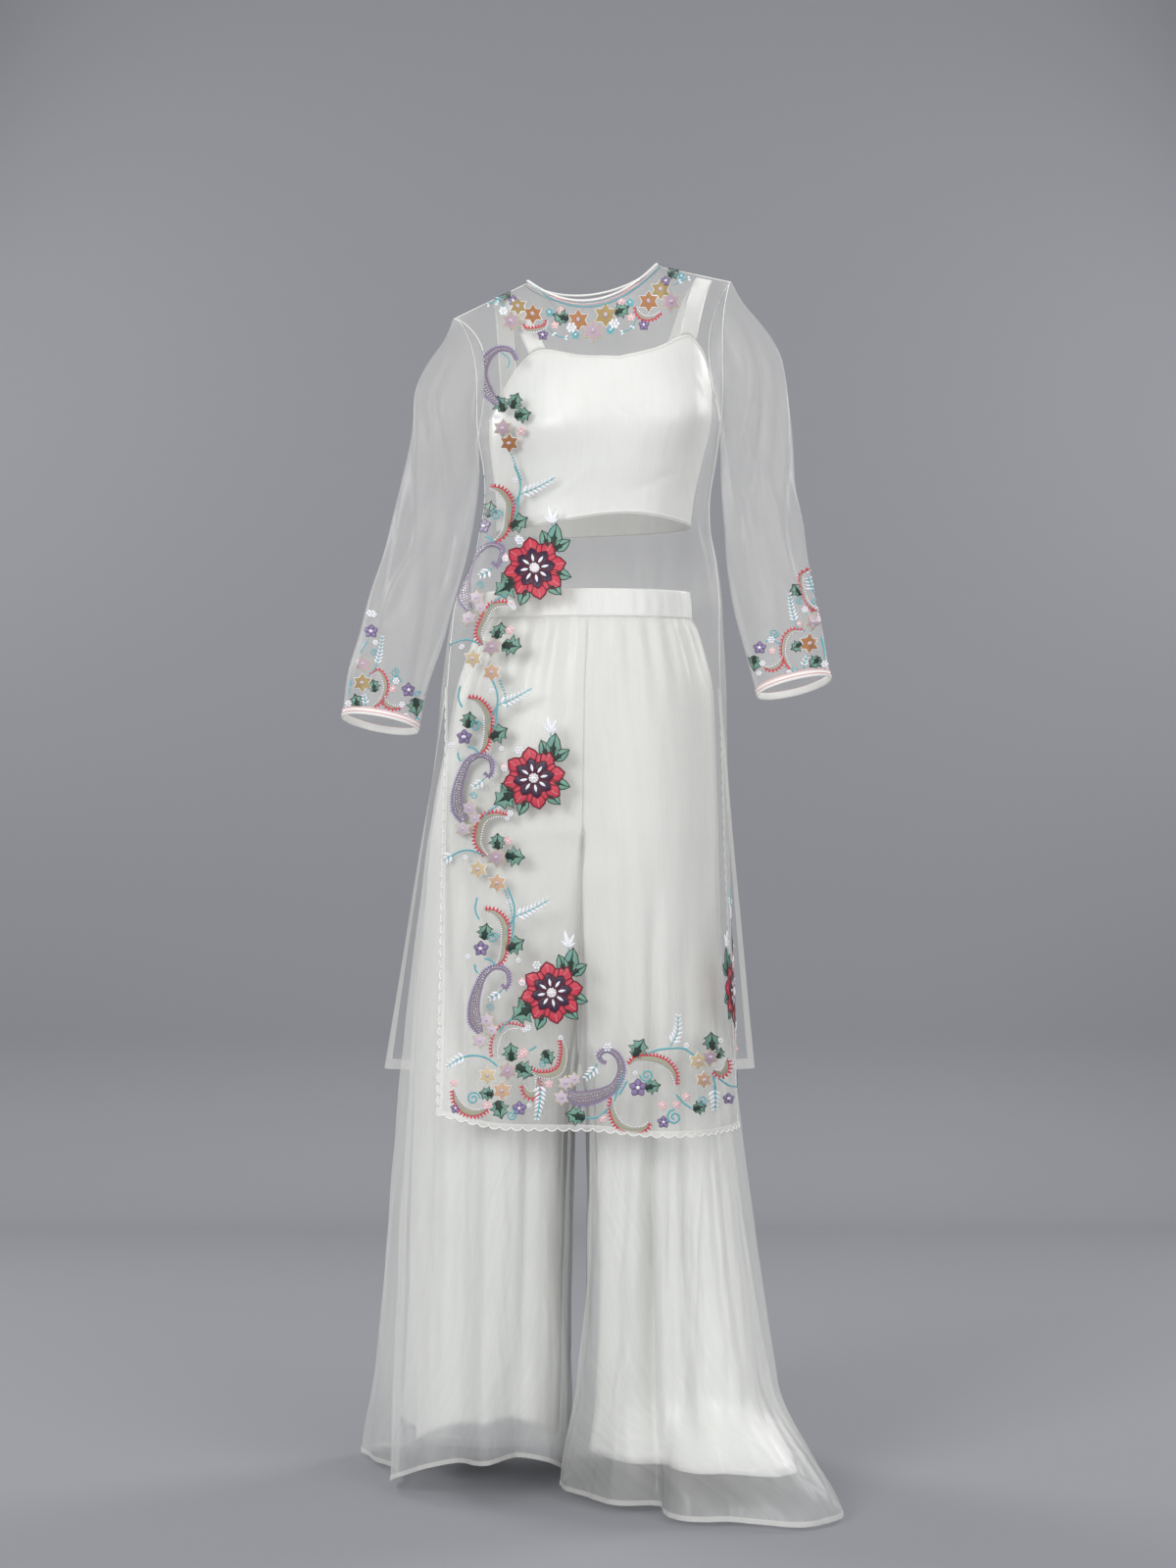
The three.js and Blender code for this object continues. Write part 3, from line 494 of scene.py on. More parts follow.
def sleeve_point(side, around, down):
    """Around is 0 at the shoulder, 0.25 at the front and 0.5 at the underarm; down is 1 at the cuff."""
    around, down = np.broadcast_arrays(np.asarray(around, float), np.asarray(down, float))
    start = armhole(side, around)
    height = mix(start[..., 2], SLEEVES[side][0][0], down)
    _, x, y, half_width, half_depth, lean, slope = along(SLEEVES[side], height)
    turn = 2 * math.pi * around
    wide = half_width * np.cos(turn)
    deep = half_depth * np.sin(turn)
    lean, slope = np.radians(lean), np.radians(slope)
    rise = (wide * np.sin(slope) + deep * np.sin(lean)) * smooth(down)
    hang = point(x + wide * side * np.cos(slope), y - deep * np.cos(lean), height + rise)
    free = np.where((down < BESIDE_BODY)[..., None], clear_of_body(side, hang, HANG_GAP), hang)
    share = np.sin(math.pi / 2 * np.clip(down / CAP, 0, 1))
    free_x = mix(start[..., 0] + ARMHOLE_GAP * side, free[..., 0], share)
    placed = point(free_x, mix(start[..., 1], free[..., 1], share), hang[..., 2])
    beside = (down > 0) & (placed[..., 2] < UNDERARM + side * UNDERARM_TILT)
    return np.where(beside[..., None], clear_of_body(side, placed, SET_GAP), placed)


print("outer side of the right cuff, mm:", np.round(sleeve_point(-1, 0.0, 1.0)).tolist())

# %% Surfaces of the camisole and its straps
# the share of a strap's path that lies in front of the shoulder
STRAP_FRONT = 0.4
# millimetres that a strap stands off the upper edge it is sewn to
STRAP_LIFT = 0.8


def camisole_point(angle, down, out=0.0):
    angle, down = np.broadcast_arrays(np.asarray(angle, float), np.asarray(down, float))
    reach = np.abs(angle)
    top = along(CAMISOLE_TOP, reach)[1]
    hem = CAMISOLE_HEM + 14 * np.exp(-(((angle - 10) / 42) ** 2))
    height = mix(top, hem, down)
    away = ((reach - CUP["angle"]) / CUP["spread"]) ** 2 + ((height - CUP["height"]) / CUP["tall"]) ** 2
    return body_point(CAMISOLE_SECTIONS, height, angle, CUP["out"] * np.exp(-away) + out)


def strap_point(side, across, path):
    """Path is 0 at the front edge of the camisole, 0.4 on the shoulder and 1 at the back edge."""
    shoulder, height, slope, front_angle, back_angle = STRAPS[side]
    front = path < STRAP_FRONT
    share = np.where(front, path / STRAP_FRONT, (1 - path) / (1 - STRAP_FRONT))
    angle = np.where(front, float(front_angle), float(back_angle))
    edge = camisole_point(angle, 0.0)
    per_degree = camisole_point(angle + 1, 0.0)[..., 0] - edge[..., 0]
    foot = camisole_point(angle + STRAP_WIDTH * (across - 0.5) / per_degree, 0.0)
    turn = math.pi / 2 * share
    aside = STRAP_WIDTH * (across - 0.5)
    climb = mix(np.sin(turn), share, 0.35)
    return point(
        mix(foot[..., 0], shoulder + aside, share),
        foot[..., 1] * np.clip(np.cos(turn), 0, 1) ** 1.4,
        mix(foot[..., 2] + STRAP_LIFT, height + slope * aside, climb),
    )


print("camisole hem in front, mm:", np.round(camisole_point(0.0, 1.0)).tolist())

# %% Surface of a trouser leg
def leg_shape(side, station, level):
    over = np.mod(station, STATIONS)
    height = mix(WAIST_SEAM - SEAM, CROTCH, np.clip(level, 0, 1))
    _, centre, right, left, depth = along(HIP_SECTIONS, height)
    half = right if side < 0 else left
    inner = np.clip((over - INNER_FROM) / (STATIONS - INNER_FROM), 0, 1)
    around = np.radians(180 / INNER_FROM * over)
    x = centre + side * (SEAM / 2 + np.where(inner > 0, 0.0, half * np.sin(around)))
    y = np.where(inner > 0, mix(depth, -depth, inner), -depth * np.cos(around))
    dip = CROTCH_DIP * np.sin(math.pi * inner)
    down = np.clip(level - 1, 0, None)
    hem_x, hem_y, hem_z, train_x, train_y = round_at(LEG_HEM[side], over)
    flare = down ** LEG_FLARE[side]
    train = smooth((down - TRAIN_START) / (1 - TRAIN_START))
    return point(
        mix(x, hem_x, flare) + train * train_x,
        mix(y, hem_y, flare) + train * train_y,
        mix(height, hem_z, down) - dip * (1 - smooth(down / 0.35)),
    )


# stations to either side from which the way that the cloth faces is taken
FACING_STEP = 0.2


def leg_point(side, station, place, lining=False, inset=0.0):
    """Place is 0 at the waist seam, 1 at the crotch and 2 at the hem."""
    station, place = np.broadcast_arrays(np.asarray(station, float), np.asarray(place, float))
    level = np.where(place > 1, 1 + (place - 1) * (1 - LINING_RISE / CROTCH), place) if lining else place
    is_open = level < 1
    behind, ahead = station - FACING_STEP, station + FACING_STEP
    before = leg_shape(side, np.where(is_open, np.maximum(behind, 0), behind), level)
    after = leg_shape(side, np.where(is_open, np.minimum(ahead, INNER_FROM), ahead), level)
    length = np.hypot(after[..., 0] - before[..., 0], after[..., 1] - before[..., 1])
    out_x = side * (after[..., 1] - before[..., 1]) / length
    out_y = -side * (after[..., 0] - before[..., 0]) / length
    down = np.clip(level - 1, 0, None)
    fold = 0.0
    for centre, width, depth, start in LEG_FOLDS[side]:
        gap = np.abs(np.mod(station - centre + STATIONS / 2, STATIONS) - STATIONS / 2)
        fold = fold + depth * np.exp(-((gap / width) ** 2)) * smooth((down - start) / (1 - start))
    move = fold - inset
    if lining:
        hang = along(LINING_INSET[side], station)[1]
        move = 0.6 * fold - mix(1.5 + 1.5 * smooth(level / 0.4), hang, down) - inset
    base = leg_shape(side, station, level)
    return point(base[..., 0] + out_x * move, base[..., 1] + out_y * move, base[..., 2])


print("front of the hem, px:", np.round(to_picture(kurta_point("front", 0.0, 3.0))).tolist())

# %% [markdown]
# ## Cloth finishes
#
# Silk organza is a plain weave of fine, stiff threads with open air between them.
# What the eye sees is part thread and part whatever is behind, so the shader mixes a
# thread shader with a clear one. The share of thread is the cover. It is uneven along
# the threads, and the streaks are drawn about ten times wider than real threads so
# that they still show from four metres. Light also comes through the threads
# themselves, which is why some of the thread shader is translucent.

# %% Organza
STREAK_WIDTH = 0.0035
STREAK_LENGTH = 0.30
CRINKLE_WIDTH = 0.026
CRINKLE_LENGTH = 0.15
# how much a crinkle changes the cover, and the share of the threads' light that comes through
CRINKLE_COVER = 0.12
THROUGH = 0.35


def cloth_space(tree, width, length):
    """Texture space in metres of cloth, one unit wide and one unit long."""
    place = add(tree, "ShaderNodeUVMap", {"uv_map": "cloth"})
    return add(
        tree, "ShaderNodeMapping", Vector=place.outputs[0], Scale=(1 / width, 1 / length, 1.0)
    ).outputs[0]


def sheer(name, colour, cover, uneven, roughness, crinkle):
    """Organza whose threads cover about this share of the view."""
    material, tree = new_material(name)
    streaks = add(
        tree, "ShaderNodeTexNoise", Vector=cloth_space(tree, STREAK_WIDTH, STREAK_LENGTH), Scale=1.0,
        Detail=3.0,
    )
    crinkles = add(
        tree, "ShaderNodeTexNoise", Vector=cloth_space(tree, CRINKLE_WIDTH, CRINKLE_LENGTH), Scale=1.0,
        Detail=2.5, Roughness=0.45, Distortion=0.6,
    )
    swing = add(
        tree, "ShaderNodeMath", {"operation": "MULTIPLY_ADD"}, _0=streaks.outputs[0], _1=uneven,
        _2=cover - uneven / 2 - CRINKLE_COVER / 2,
    )
    share = add(
        tree, "ShaderNodeMath", {"operation": "MULTIPLY_ADD", "use_clamp": True}, _0=crinkles.outputs[0],
        _1=CRINKLE_COVER, _2=swing.outputs[0],
    )
    relief = add(tree, "ShaderNodeBump", Height=crinkles.outputs[0], Strength=crinkle, Distance=0.004)
    threads = add(
        tree, "ShaderNodeBsdfPrincipled", Base_Color=linear(colour), Roughness=roughness, Sheen_Weight=0.35,
        Sheen_Roughness=0.35, Normal=relief.outputs[0],
    )
    through = add(tree, "ShaderNodeBsdfTranslucent", Color=linear(colour), Normal=relief.outputs[0])
    lit = add(tree, "ShaderNodeMixShader", _0=THROUGH, _1=threads.outputs[0], _2=through.outputs[0])
    air = add(tree, "ShaderNodeBsdfTransparent")
    seen = add(tree, "ShaderNodeMixShader", _0=share.outputs[0], _1=air.outputs[0], _2=lit.outputs[0])
    add(tree, "ShaderNodeOutputMaterial", Surface=seen.outputs[0])
    return material


organza = sheer("organza_ivory", "f8f7f2", 0.22, 0.05, 0.30, 0.3)
organza_leg = sheer("organza_crinkled", "f6f6f3", 0.41, 0.05, 0.27, 0.45)
organza_hem = sheer("organza_folded_hem", "fbfaf6", 0.55, 0.12, 0.5, 0.2)

# %% [markdown]
# The camisole and the linings are satin: opaque, with a soft gloss and a relief of
# slack pulls that run with the weave. Bindings, seams and hems are a matt white
# cotton. Embroidery silk is glossier across the stitch than a printed colour, so it
# gets its own relief of fine stitches, drawn 0.9 mm apart. The beads are pressed glass,
# some with a pearl coat and some lined with silver, so each one throws back a small
# sharp point of light.

# %% Satin, cotton trim and embroidery silk
PULL_WIDTH = 0.03
PULL_LENGTH = 0.16
STITCH = 0.0009


def solid(name, colour, roughness, relief=None, strength=0.3, depth=0.002, sheen=0.2, **more):
    """An opaque cloth or thread with an optional relief texture."""
    material, tree = new_material(name)
    shader = add(
        tree, "ShaderNodeBsdfPrincipled", Base_Color=linear(colour), Roughness=roughness, Sheen_Weight=sheen,
        Sheen_Roughness=0.4, **more,
    )
    if relief:
        width, length, detail = relief
        pattern = add(
            tree, "ShaderNodeTexNoise", Vector=cloth_space(tree, width, length), Scale=1.0, Detail=detail
        )
        bump = add(tree, "ShaderNodeBump", Height=pattern.outputs[0], Strength=strength, Distance=depth)
        tree.links.new(bump.outputs[0], shader.inputs["Normal"])
    add(tree, "ShaderNodeOutputMaterial", Surface=shader.outputs[0])
    return material


satin = solid("satin_white", "f0f1ee", 0.36, (PULL_WIDTH, PULL_LENGTH, 2.0), 0.3, 0.005)
cotton = solid("cotton_trim_white", "f7f6f2", 0.7, (0.0012, 0.0012, 1.0), 0.25, 0.0006)
SILKS = {
    "coral": "cf3a50",
    "crimson": "640c22",
    "purple": "351a3c",
    "violet": "8c7aa8",
    "sage": "74a08f",
    "dark_green": "0d2c22",
    "teal": "62b0ba",
    "orange": "ac7648",
    "tan": "cca888",
    "gold": "a8905e",
    "sand": "d2be98",
    "mauve": "b8a2ae",
    "lilac": "cfc0cd",
    "yellow": "cfc68c",
    "paisley": "90858e",
    "moss": "a3a58c",
    "rose": "dc8a8c",
    "blush": "eec3c4",
    "white": "f4f6fb",
}
silks = {
    name: solid(f"silk_{name}", colour, 0.42, (STITCH, 0.02, 0.0), 0.6, 0.0008, sheen=0.3)
    for name, colour in SILKS.items()
}
pearl = solid("bead_pearl", "f3eef0", 0.16, sheen=0.0, Coat_Weight=0.6)
silver = solid("bead_silver", "c9c6cf", 0.25, sheen=0.0, Metallic=0.8)
print("materials:", len(bpy.data.materials))

# %% [markdown]
# ## Making cloth from grids
#
# Every sheet is a grid of points on its surface. The grid also carries cloth
# coordinates: how far each point is across and down the cloth, in metres, so that
# threads and pulls run with the panel and turn with its folds. Organza is a single
# layer. Satin gets a second layer just inside and a rim, because its cut edges show.

# %% Grids to meshes
def grid_faces(rows, columns, closed, flip):
    width = columns if closed else columns + 1
    row, column = (index.ravel() for index in np.meshgrid(np.arange(rows), np.arange(columns), indexing="ij"))
    after = (column + 1) % width
    faces = np.stack([row * width + column, (row + 1) * width + column, (row + 1) * width + after,
                      row * width + after], axis=-1)
    corners = np.stack([row, column, row + 1, column, row + 1, column + 1, row, column + 1], axis=-1)
    corners = corners.reshape(-1, 4, 2)
    return (faces[:, ::-1], corners[:, ::-1]) if flip else (faces, corners)


def cloth_lengths(points, closed):
    """How far across and down the cloth each grid point is, in metres."""
    ring = np.concatenate([points, points[:, :1]], axis=1) if closed else points
    across = np.linalg.norm(np.diff(ring, axis=1), axis=-1).cumsum(axis=1)
    across = np.concatenate([np.zeros((len(ring), 1)), across], axis=1)
    across -= across[:, across.shape[1] // 2][:, None]
    down = np.linalg.norm(np.diff(ring, axis=0), axis=-1).cumsum(axis=0)
    down = np.concatenate([np.zeros((1, ring.shape[1])), down], axis=0)
    return np.stack([across, down], axis=-1) * MM


def normalised(rows):
    """Each row of numbers as a direction of length one."""
    return rows / np.maximum(np.linalg.norm(rows, axis=-1, keepdims=True), 1e-9)


def normals_of(points, faces):
    total = np.zeros_like(points)
    cross = np.cross(points[faces[:, 2]] - points[faces[:, 0]], points[faces[:, 3]] - points[faces[:, 1]])
    for corner in range(faces.shape[1]):
        np.add.at(total, faces[:, corner], cross)
    return normalised(total)


def build(name, points, faces, lengths, material):
    """An object from points in millimetres above the floor, four-cornered faces and cloth lengths."""
    mesh = bpy.data.meshes.new(name)
    placed = np.asarray(points, float) * MM
    placed[:, 2] -= HOLD_HEIGHT * MM
    mesh.from_pydata(placed.tolist(), [], np.asarray(faces).tolist())
    layer = mesh.uv_layers.new(name="cloth")
    layer.data.foreach_set("uv", np.asarray(lengths, np.float32).reshape(-1))
    mesh.shade_smooth()
    mesh.materials.append(material)
    piece = bpy.data.objects.new(name, mesh)
    bpy.context.scene.collection.objects.link(piece)
    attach(piece, "root")
    return piece


def sew(name, points, material, closed=False, flip=False, thickness=0.0, keep=None):
    """A sheet of cloth from a grid of points; keep can leave faces out by row and column."""
    rows, columns = points.shape[0] - 1, points.shape[1] - (0 if closed else 1)
    faces, corners = grid_faces(rows, columns, closed, flip)
    lengths = cloth_lengths(points, closed)[corners[..., 0], corners[..., 1]]
    if keep is not None:
        chosen = keep[corners[..., 0].min(axis=1), corners[..., 1].min(axis=1)]
        faces, lengths = faces[chosen], lengths[chosen]
    flat = points.reshape(-1, 3)
    used, renamed = np.unique(faces, return_inverse=True)
    flat, faces = flat[used], renamed.reshape(faces.shape)
    if thickness:
        count = len(flat)
        inner = flat - normals_of(flat, faces) * thickness
        start, end = faces.ravel(), np.roll(faces, -1, axis=1).ravel()
        free = ~np.isin(start * count + end, end * count + start)
        rim = np.stack([end[free], start[free], start[free] + count, end[free] + count], axis=-1)
        edge = lengths.reshape(-1, 2)[free]
        flat = np.concatenate([flat, inner])
        faces = np.concatenate([faces, faces[:, ::-1] + count, rim])
        lengths = np.concatenate([lengths, lengths[:, ::-1], np.repeat(edge[:, None], 4, axis=1)])
    return build(name, flat, faces, lengths, material)


def tube(points, radius, sides=6, closed=False):
    """Points and faces of a round cord along a path."""
    path = np.asarray(points, float)
    if closed:
        ahead, behind = np.roll(path, -1, axis=0), np.roll(path, 1, axis=0)
    else:
        ahead, behind = np.vstack([path[1:], path[-1:]]), np.vstack([path[:1], path[:-1]])
    run = normalised(ahead - behind)
    guide = np.where(np.abs(run[:, 2:]) > 0.9, [[0.0, 1.0, 0.0]], [[0.0, 0.0, 1.0]])
    side = normalised(np.cross(guide, run))
    up = np.cross(run, side)
    turn = 2 * math.pi * np.arange(sides) / sides
    ring = side[:, None] * np.cos(turn)[None, :, None] + up[:, None] * np.sin(turn)[None, :, None]
    grid = path[:, None] + radius * ring
    count = len(path)
    row, step = (index.ravel() for index in np.meshgrid(
        np.arange(count if closed else count - 1), np.arange(sides), indexing="ij"))
    after, turned = (row + 1) % count, (step + 1) % sides
    faces = np.stack([row * sides + step, row * sides + turned, after * sides + turned,
                      after * sides + step], axis=-1)
    return grid.reshape(-1, 3), faces


def joined(parts):
    """One set of points and faces from many."""
    points, faces, count = [], [], 0
    for some_points, some_faces in parts:
        points.append(some_points)
        faces.append(np.asarray(some_faces) + count)
        count += len(some_points)
    return np.concatenate(points), np.concatenate(faces)


def cord_piece(name, paths, radius, material, closed=False):
    points, faces = joined([tube(path, radius, closed=closed) for path in paths])
    spots = points[faces]
    lengths = np.stack([spots[..., 0] + spots[..., 1], spots[..., 2]], axis=-1) * MM
    return build(name, points, faces, lengths, material)


def area_of(piece):
    return round(sum(face.area for face in piece.data.polygons), 3)


print("faces in one step of a cord:", len(tube([(0, 0, 0), (0, 0, 1)], 1.0)[1]))

# %% [markdown]
# A crease is a narrow ridge or valley along a line. The main ones were placed on the
# front of the outfit, and similar ones on the sides and back that the front view
# hides. Each line is given by two ends on the cloth, its width and its height.
# A finer ripple is a sum of sines whose lengths have no common measure, so that it
# never repeats on the cloth.

# %% Creases
def creased(place, lines):
    """How far lines push the cloth out at places given in two cloth directions."""
    push = np.zeros(place.shape[:-1])
    for start_a, start_b, end_a, end_b, width, height in lines:
        start = np.array([start_a, start_b], float)
        run = np.array([end_a, end_b], float) - start
        offset = place - start
        share = np.clip((offset @ run) / (run @ run), 0, 1)
        gap = np.linalg.norm(offset - share[..., None] * run, axis=-1)
        ends = np.sin(math.pi * np.clip(share * 0.96 + 0.02, 0, 1)) ** 0.6
        push += height * np.exp(-((gap / width) ** 2)) * ends
    return push


# waves across and down to the unit, and where each wave starts
WAVES = ((1.0, 0.13, 0.4), (0.61, -0.21, 1.7), (1.73, 0.34, 2.9), (2.41, -0.11, 4.2), (0.29, 0.47, 5.3))


def rippled(a, b, size):
    """An uneven ripple from five waves, at most about one high."""
    place = [(a * across + b * down) / size * 2 * math.pi + start for across, down, start in WAVES]
    return sum(np.sin(turn) for turn in place) / 3


def pushed(surface, a, b, push, hand=1, step=0.01):
    """Points of a surface moved out by a push in millimetres; hand, 1 or -1, says which side is out."""
    over = surface(a + step, b) - surface(a - step, b)
    down = surface(a, b + step) - surface(a, b - step)
    out = normalised(hand * np.cross(down, over))
    return surface(a, b) + out * np.asarray(push)[..., None]


print("waves in the ripple:", len(WAVES))

# %% [markdown]
# ## The kurta body
#
# The front and back are cut as two long panels, sewn at the shoulders and at the
# sides down to the slits. Below that they hang free. The front panel is smooth over
# the bust and has a few long soft drapes below the hip. The back hangs in flutes.

# %% Front and back panels
# share across and level from, share across and level to, width in share, height in mm
PANEL_CREASES = {
    "front": [
        (-0.30, 2.05, -0.22, 2.95, 0.05, 1.6), (0.06, 1.95, 0.12, 2.9, 0.045, -1.8),
        (0.30, 1.9, 0.26, 2.7, 0.05, 2.0), (0.46, 1.6, 0.44, 2.6, 0.05, -2.0),
        (0.60, 1.2, 0.62, 2.9, 0.045, 2.2), (-0.58, 2.1, -0.66, 2.9, 0.05, -1.4),
        (-0.86, 2.25, -0.52, 2.31, 0.035, 1.3), (-0.80, 2.42, -0.5, 2.40, 0.03, -1.0),
        (0.30, 2.66, 0.5, 2.42, 0.05, 1.8), (0.10, 2.72, 0.38, 2.5, 0.05, -1.6),
        (0.78, 0.95, 0.70, 1.7, 0.05, 2.0), (-0.82, 0.9, -0.74, 1.6, 0.05, 1.6),
        (0.86, 0.72, 0.6, 1.02, 0.06, -1.8), (-0.88, 0.72, -0.62, 1.02, 0.06, -1.6),
    ],
    "back": [
        (-0.84, 1.5, -0.86, 2.95, 0.05, 2.2), (-0.52, 1.7, -0.55, 2.95, 0.05, -2.4),
        (-0.18, 1.6, -0.2, 2.9, 0.045, 2.4), (0.16, 1.8, 0.18, 2.95, 0.05, -2.2),
        (0.5, 1.6, 0.54, 2.95, 0.05, 2.4), (0.84, 1.5, 0.87, 2.95, 0.05, -2.0),
        (-0.4, 1.35, 0.3, 1.45, 0.06, 1.6), (0.86, 0.72, 0.55, 1.05, 0.06, -1.8),
        (-0.86, 0.72, -0.55, 1.05, 0.06, -1.8), (0.0, 0.6, 0.02, 1.4, 0.05, 1.4),
    ],
}
# a level counts as this many shares where a crease is measured, and so on for the other pieces
LEVEL_TO_SHARE = 1.6


def panel_push(face, share, level):
    """Creases and a fine ripple, dying out at the top edge."""
    place = np.stack([share, level * LEVEL_TO_SHARE], axis=-1)
    lines = [(a, b * LEVEL_TO_SHARE, c, d * LEVEL_TO_SHARE, width, height)
             for a, b, c, d, width, height in PANEL_CREASES[face]]
    fine = rippled(share + 3.0, level * 0.8, 0.16) * 0.5 * smooth(level - 0.6)
    return (creased(place, lines) + fine) * smooth(level / 0.3)


def panel_point(face, share, level, lift=0.0):
    share, level = np.broadcast_arrays(np.asarray(share, float), np.asarray(level, float))
    push = panel_push(face, share, level) + lift
    return pushed(lambda a, b: kurta_point(face, a, b), share, level, push, 1 if face == "front" else -1)


def steps(*parts):
    """Levels from one stop to the next, with a number of rows in each part."""
    values = [np.linspace(start, end, count, endpoint=False) for start, end, count in parts]
    return np.concatenate(values + [[parts[-1][1]]])


PANEL_LEVELS = steps((0, 1, 36), (1, 2, 64), (2, 3, 110))
PANEL_COLUMNS = 145
for face in ("front", "back"):
    side = 1 if face == "front" else -1
    shares = side * np.linspace(-1, 1, PANEL_COLUMNS)
    grid = panel_point(face, shares[None, :], PANEL_LEVELS[:, None])
    sew(f"kurta_{face}_panel", grid, organza)
    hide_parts(f"kurta_{face}")

# %% [markdown]
# ## Sleeves
#
# Each sleeve is one piece of organza that is sewn into a tube and set into the
# armhole. It is eased in with almost no fullness, so the cap is smooth, and the cloth
# breaks in long diagonal folds from the shoulder point to the inside of the elbow.

# %% Sleeves
# around and down from, around and down to, width, height in mm
SLEEVE_CREASES = {
    -1: [
        (0.02, 0.04, 0.22, 0.52, 0.030, 2.6), (0.10, 0.02, 0.34, 0.44, 0.026, -2.4),
        (0.16, 0.30, 0.30, 0.78, 0.030, 2.6), (0.04, 0.46, 0.20, 0.95, 0.028, -2.4),
        (0.26, 0.42, 0.12, 0.92, 0.026, 2.2), (0.36, 0.10, 0.42, 0.70, 0.028, 2.4),
        (0.30, 0.55, 0.40, 0.97, 0.026, -2.2), (0.62, 0.10, 0.70, 0.70, 0.030, 2.4),
        (0.78, 0.05, 0.62, 0.55, 0.028, -2.4), (0.86, 0.40, 0.74, 0.95, 0.030, 2.6),
        (0.92, 0.10, 0.96, 0.60, 0.026, 2.0),
    ],
    1: [
        (0.03, 0.05, 0.18, 0.60, 0.030, 2.6), (0.12, 0.02, 0.30, 0.50, 0.026, -2.6),
        (0.20, 0.06, 0.38, 0.40, 0.024, 2.2), (0.24, 0.38, 0.14, 0.90, 0.030, 2.6),
        (0.34, 0.30, 0.28, 0.80, 0.026, -2.2), (0.08, 0.50, 0.04, 0.96, 0.026, 2.0),
        (0.44, 0.15, 0.40, 0.75, 0.028, 2.2), (0.60, 0.08, 0.72, 0.64, 0.030, 2.4),
        (0.80, 0.06, 0.64, 0.58, 0.028, -2.4), (0.84, 0.44, 0.78, 0.95, 0.030, 2.6),
        (0.93, 0.12, 0.95, 0.62, 0.026, -2.0),
    ],
}


DOWN_TO_AROUND = 1.2
# organza is stiff, so the creases stand this many times deeper than the table says
SLEEVE_DEPTH = 2.5
CUFF_STEADY = 0.75


def sleeve_push(side, around, down):
    """Creases and a slow waver, dying out at the armhole and nearly so at the cuff."""
    place = np.stack([around, down * DOWN_TO_AROUND], axis=-1)
    total = 0.0
    for turn in (-1, 0, 1):
        lines = [(a + turn, b * DOWN_TO_AROUND, c + turn, d * DOWN_TO_AROUND, width, height)
                 for a, b, c, d, width, height in SLEEVE_CREASES[side]]
        total = total + creased(place, lines)
    waver = np.sin(2 * math.pi * (5 * around + 1.3 * down))
    waver = waver + 0.7 * np.sin(2 * math.pi * (8 * around - 2.1 * down))
    held = smooth(down / 0.12) * (1 - CUFF_STEADY * smooth((down - 0.9) / 0.1))
    return (SLEEVE_DEPTH * total + 0.5 * waver) * held


def sleeve_cloth(side, around, down, lift=0.0):
    around, down = np.broadcast_arrays(np.asarray(around, float), np.asarray(down, float))
    surface = lambda a, b: sleeve_point(side, np.mod(a, 1), np.clip(b, 0, 1))
    return pushed(surface, around, down, sleeve_push(side, around, down) + lift, -side)


SIDES = {-1: "right", 1: "left"}
SLEEVE_COLUMNS = 128
SLEEVE_AROUND = np.arange(SLEEVE_COLUMNS) / SLEEVE_COLUMNS
for side, word in SIDES.items():
    grid = sleeve_cloth(side, SLEEVE_AROUND[None, :], np.linspace(0, 1, 150)[:, None])
    piece = sew(f"sleeve_{word}_cloth", grid, organza, closed=True, flip=side > 0)
    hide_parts(f"sleeve_{word}")
    print(piece.name, "square metres:", area_of(piece))

# %% [markdown]
# ## Camisole
#
# Under the kurta is a short satin camisole with a soft heart-shaped top, gentle cups
# from its darts, and a strap over each shoulder. It is opaque, so it is given a real
# second layer. A few slack pulls run across it, and a narrow turned edge along the
# top and the hem catches the light.

# %% Camisole
# angle and hundredths of the way down from, the same to, width in degrees, height in mm
CAMISOLE_CREASES = [
    (-8, 42, 14, 22, 2.2, 0.9), (-4, 30, 10, 44, 2.0, -0.8), (6, 20, 26, 36, 2.4, 0.8),
    (-34, 88, -10, 70, 3.0, 0.9), (30, 60, 62, 82, 3.5, 1.1), (42, 20, 74, 46, 3.5, 1.2),
    (-76, 24, -44, 52, 3.5, 1.0), (14, 86, 44, 74, 3.0, -0.9), (-58, 92, -30, 96, 3.0, 0.8),
    (110, 30, 150, 62, 4.0, 1.2), (-150, 30, -112, 66, 4.0, 1.2), (-176, 60, -130, 84, 4.0, -1.0),
    (128, 84, 172, 60, 4.0, 1.0),
]


DOWN_TO_ANGLE = 100


def camisole_cloth(angle, down, lift=0.0):
    angle, down = np.broadcast_arrays(np.asarray(angle, float), np.asarray(down, float))
    place = np.stack([angle, down * DOWN_TO_ANGLE], axis=-1)
    return camisole_point(angle, down, creased(place, CAMISOLE_CREASES) + lift)


SATIN_WALL = 0.7
for face, middle in (("front", 0), ("back", 180)):
    angles = middle + np.linspace(-CAMISOLE_HALF, CAMISOLE_HALF, 121)
    angles = np.where(angles > 180, angles - 360, angles)
    grid = camisole_cloth(angles[None, :], np.linspace(0, 1, 71)[:, None])
    piece = sew(f"camisole_{face}_panel", grid, satin, thickness=SATIN_WALL)
    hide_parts(f"camisole_{face}")
    print(piece.name, "square metres of surface:", area_of(piece))

for side in STRAPS:
    grid = strap_point(side, np.linspace(0, 1, 9)[None, :], np.linspace(1, 0, 81)[:, None])
    piece = sew(f"camisole_{side}_strap", grid, satin, flip=True, thickness=SATIN_WALL)
    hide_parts(f"camisole_strap_{side}")

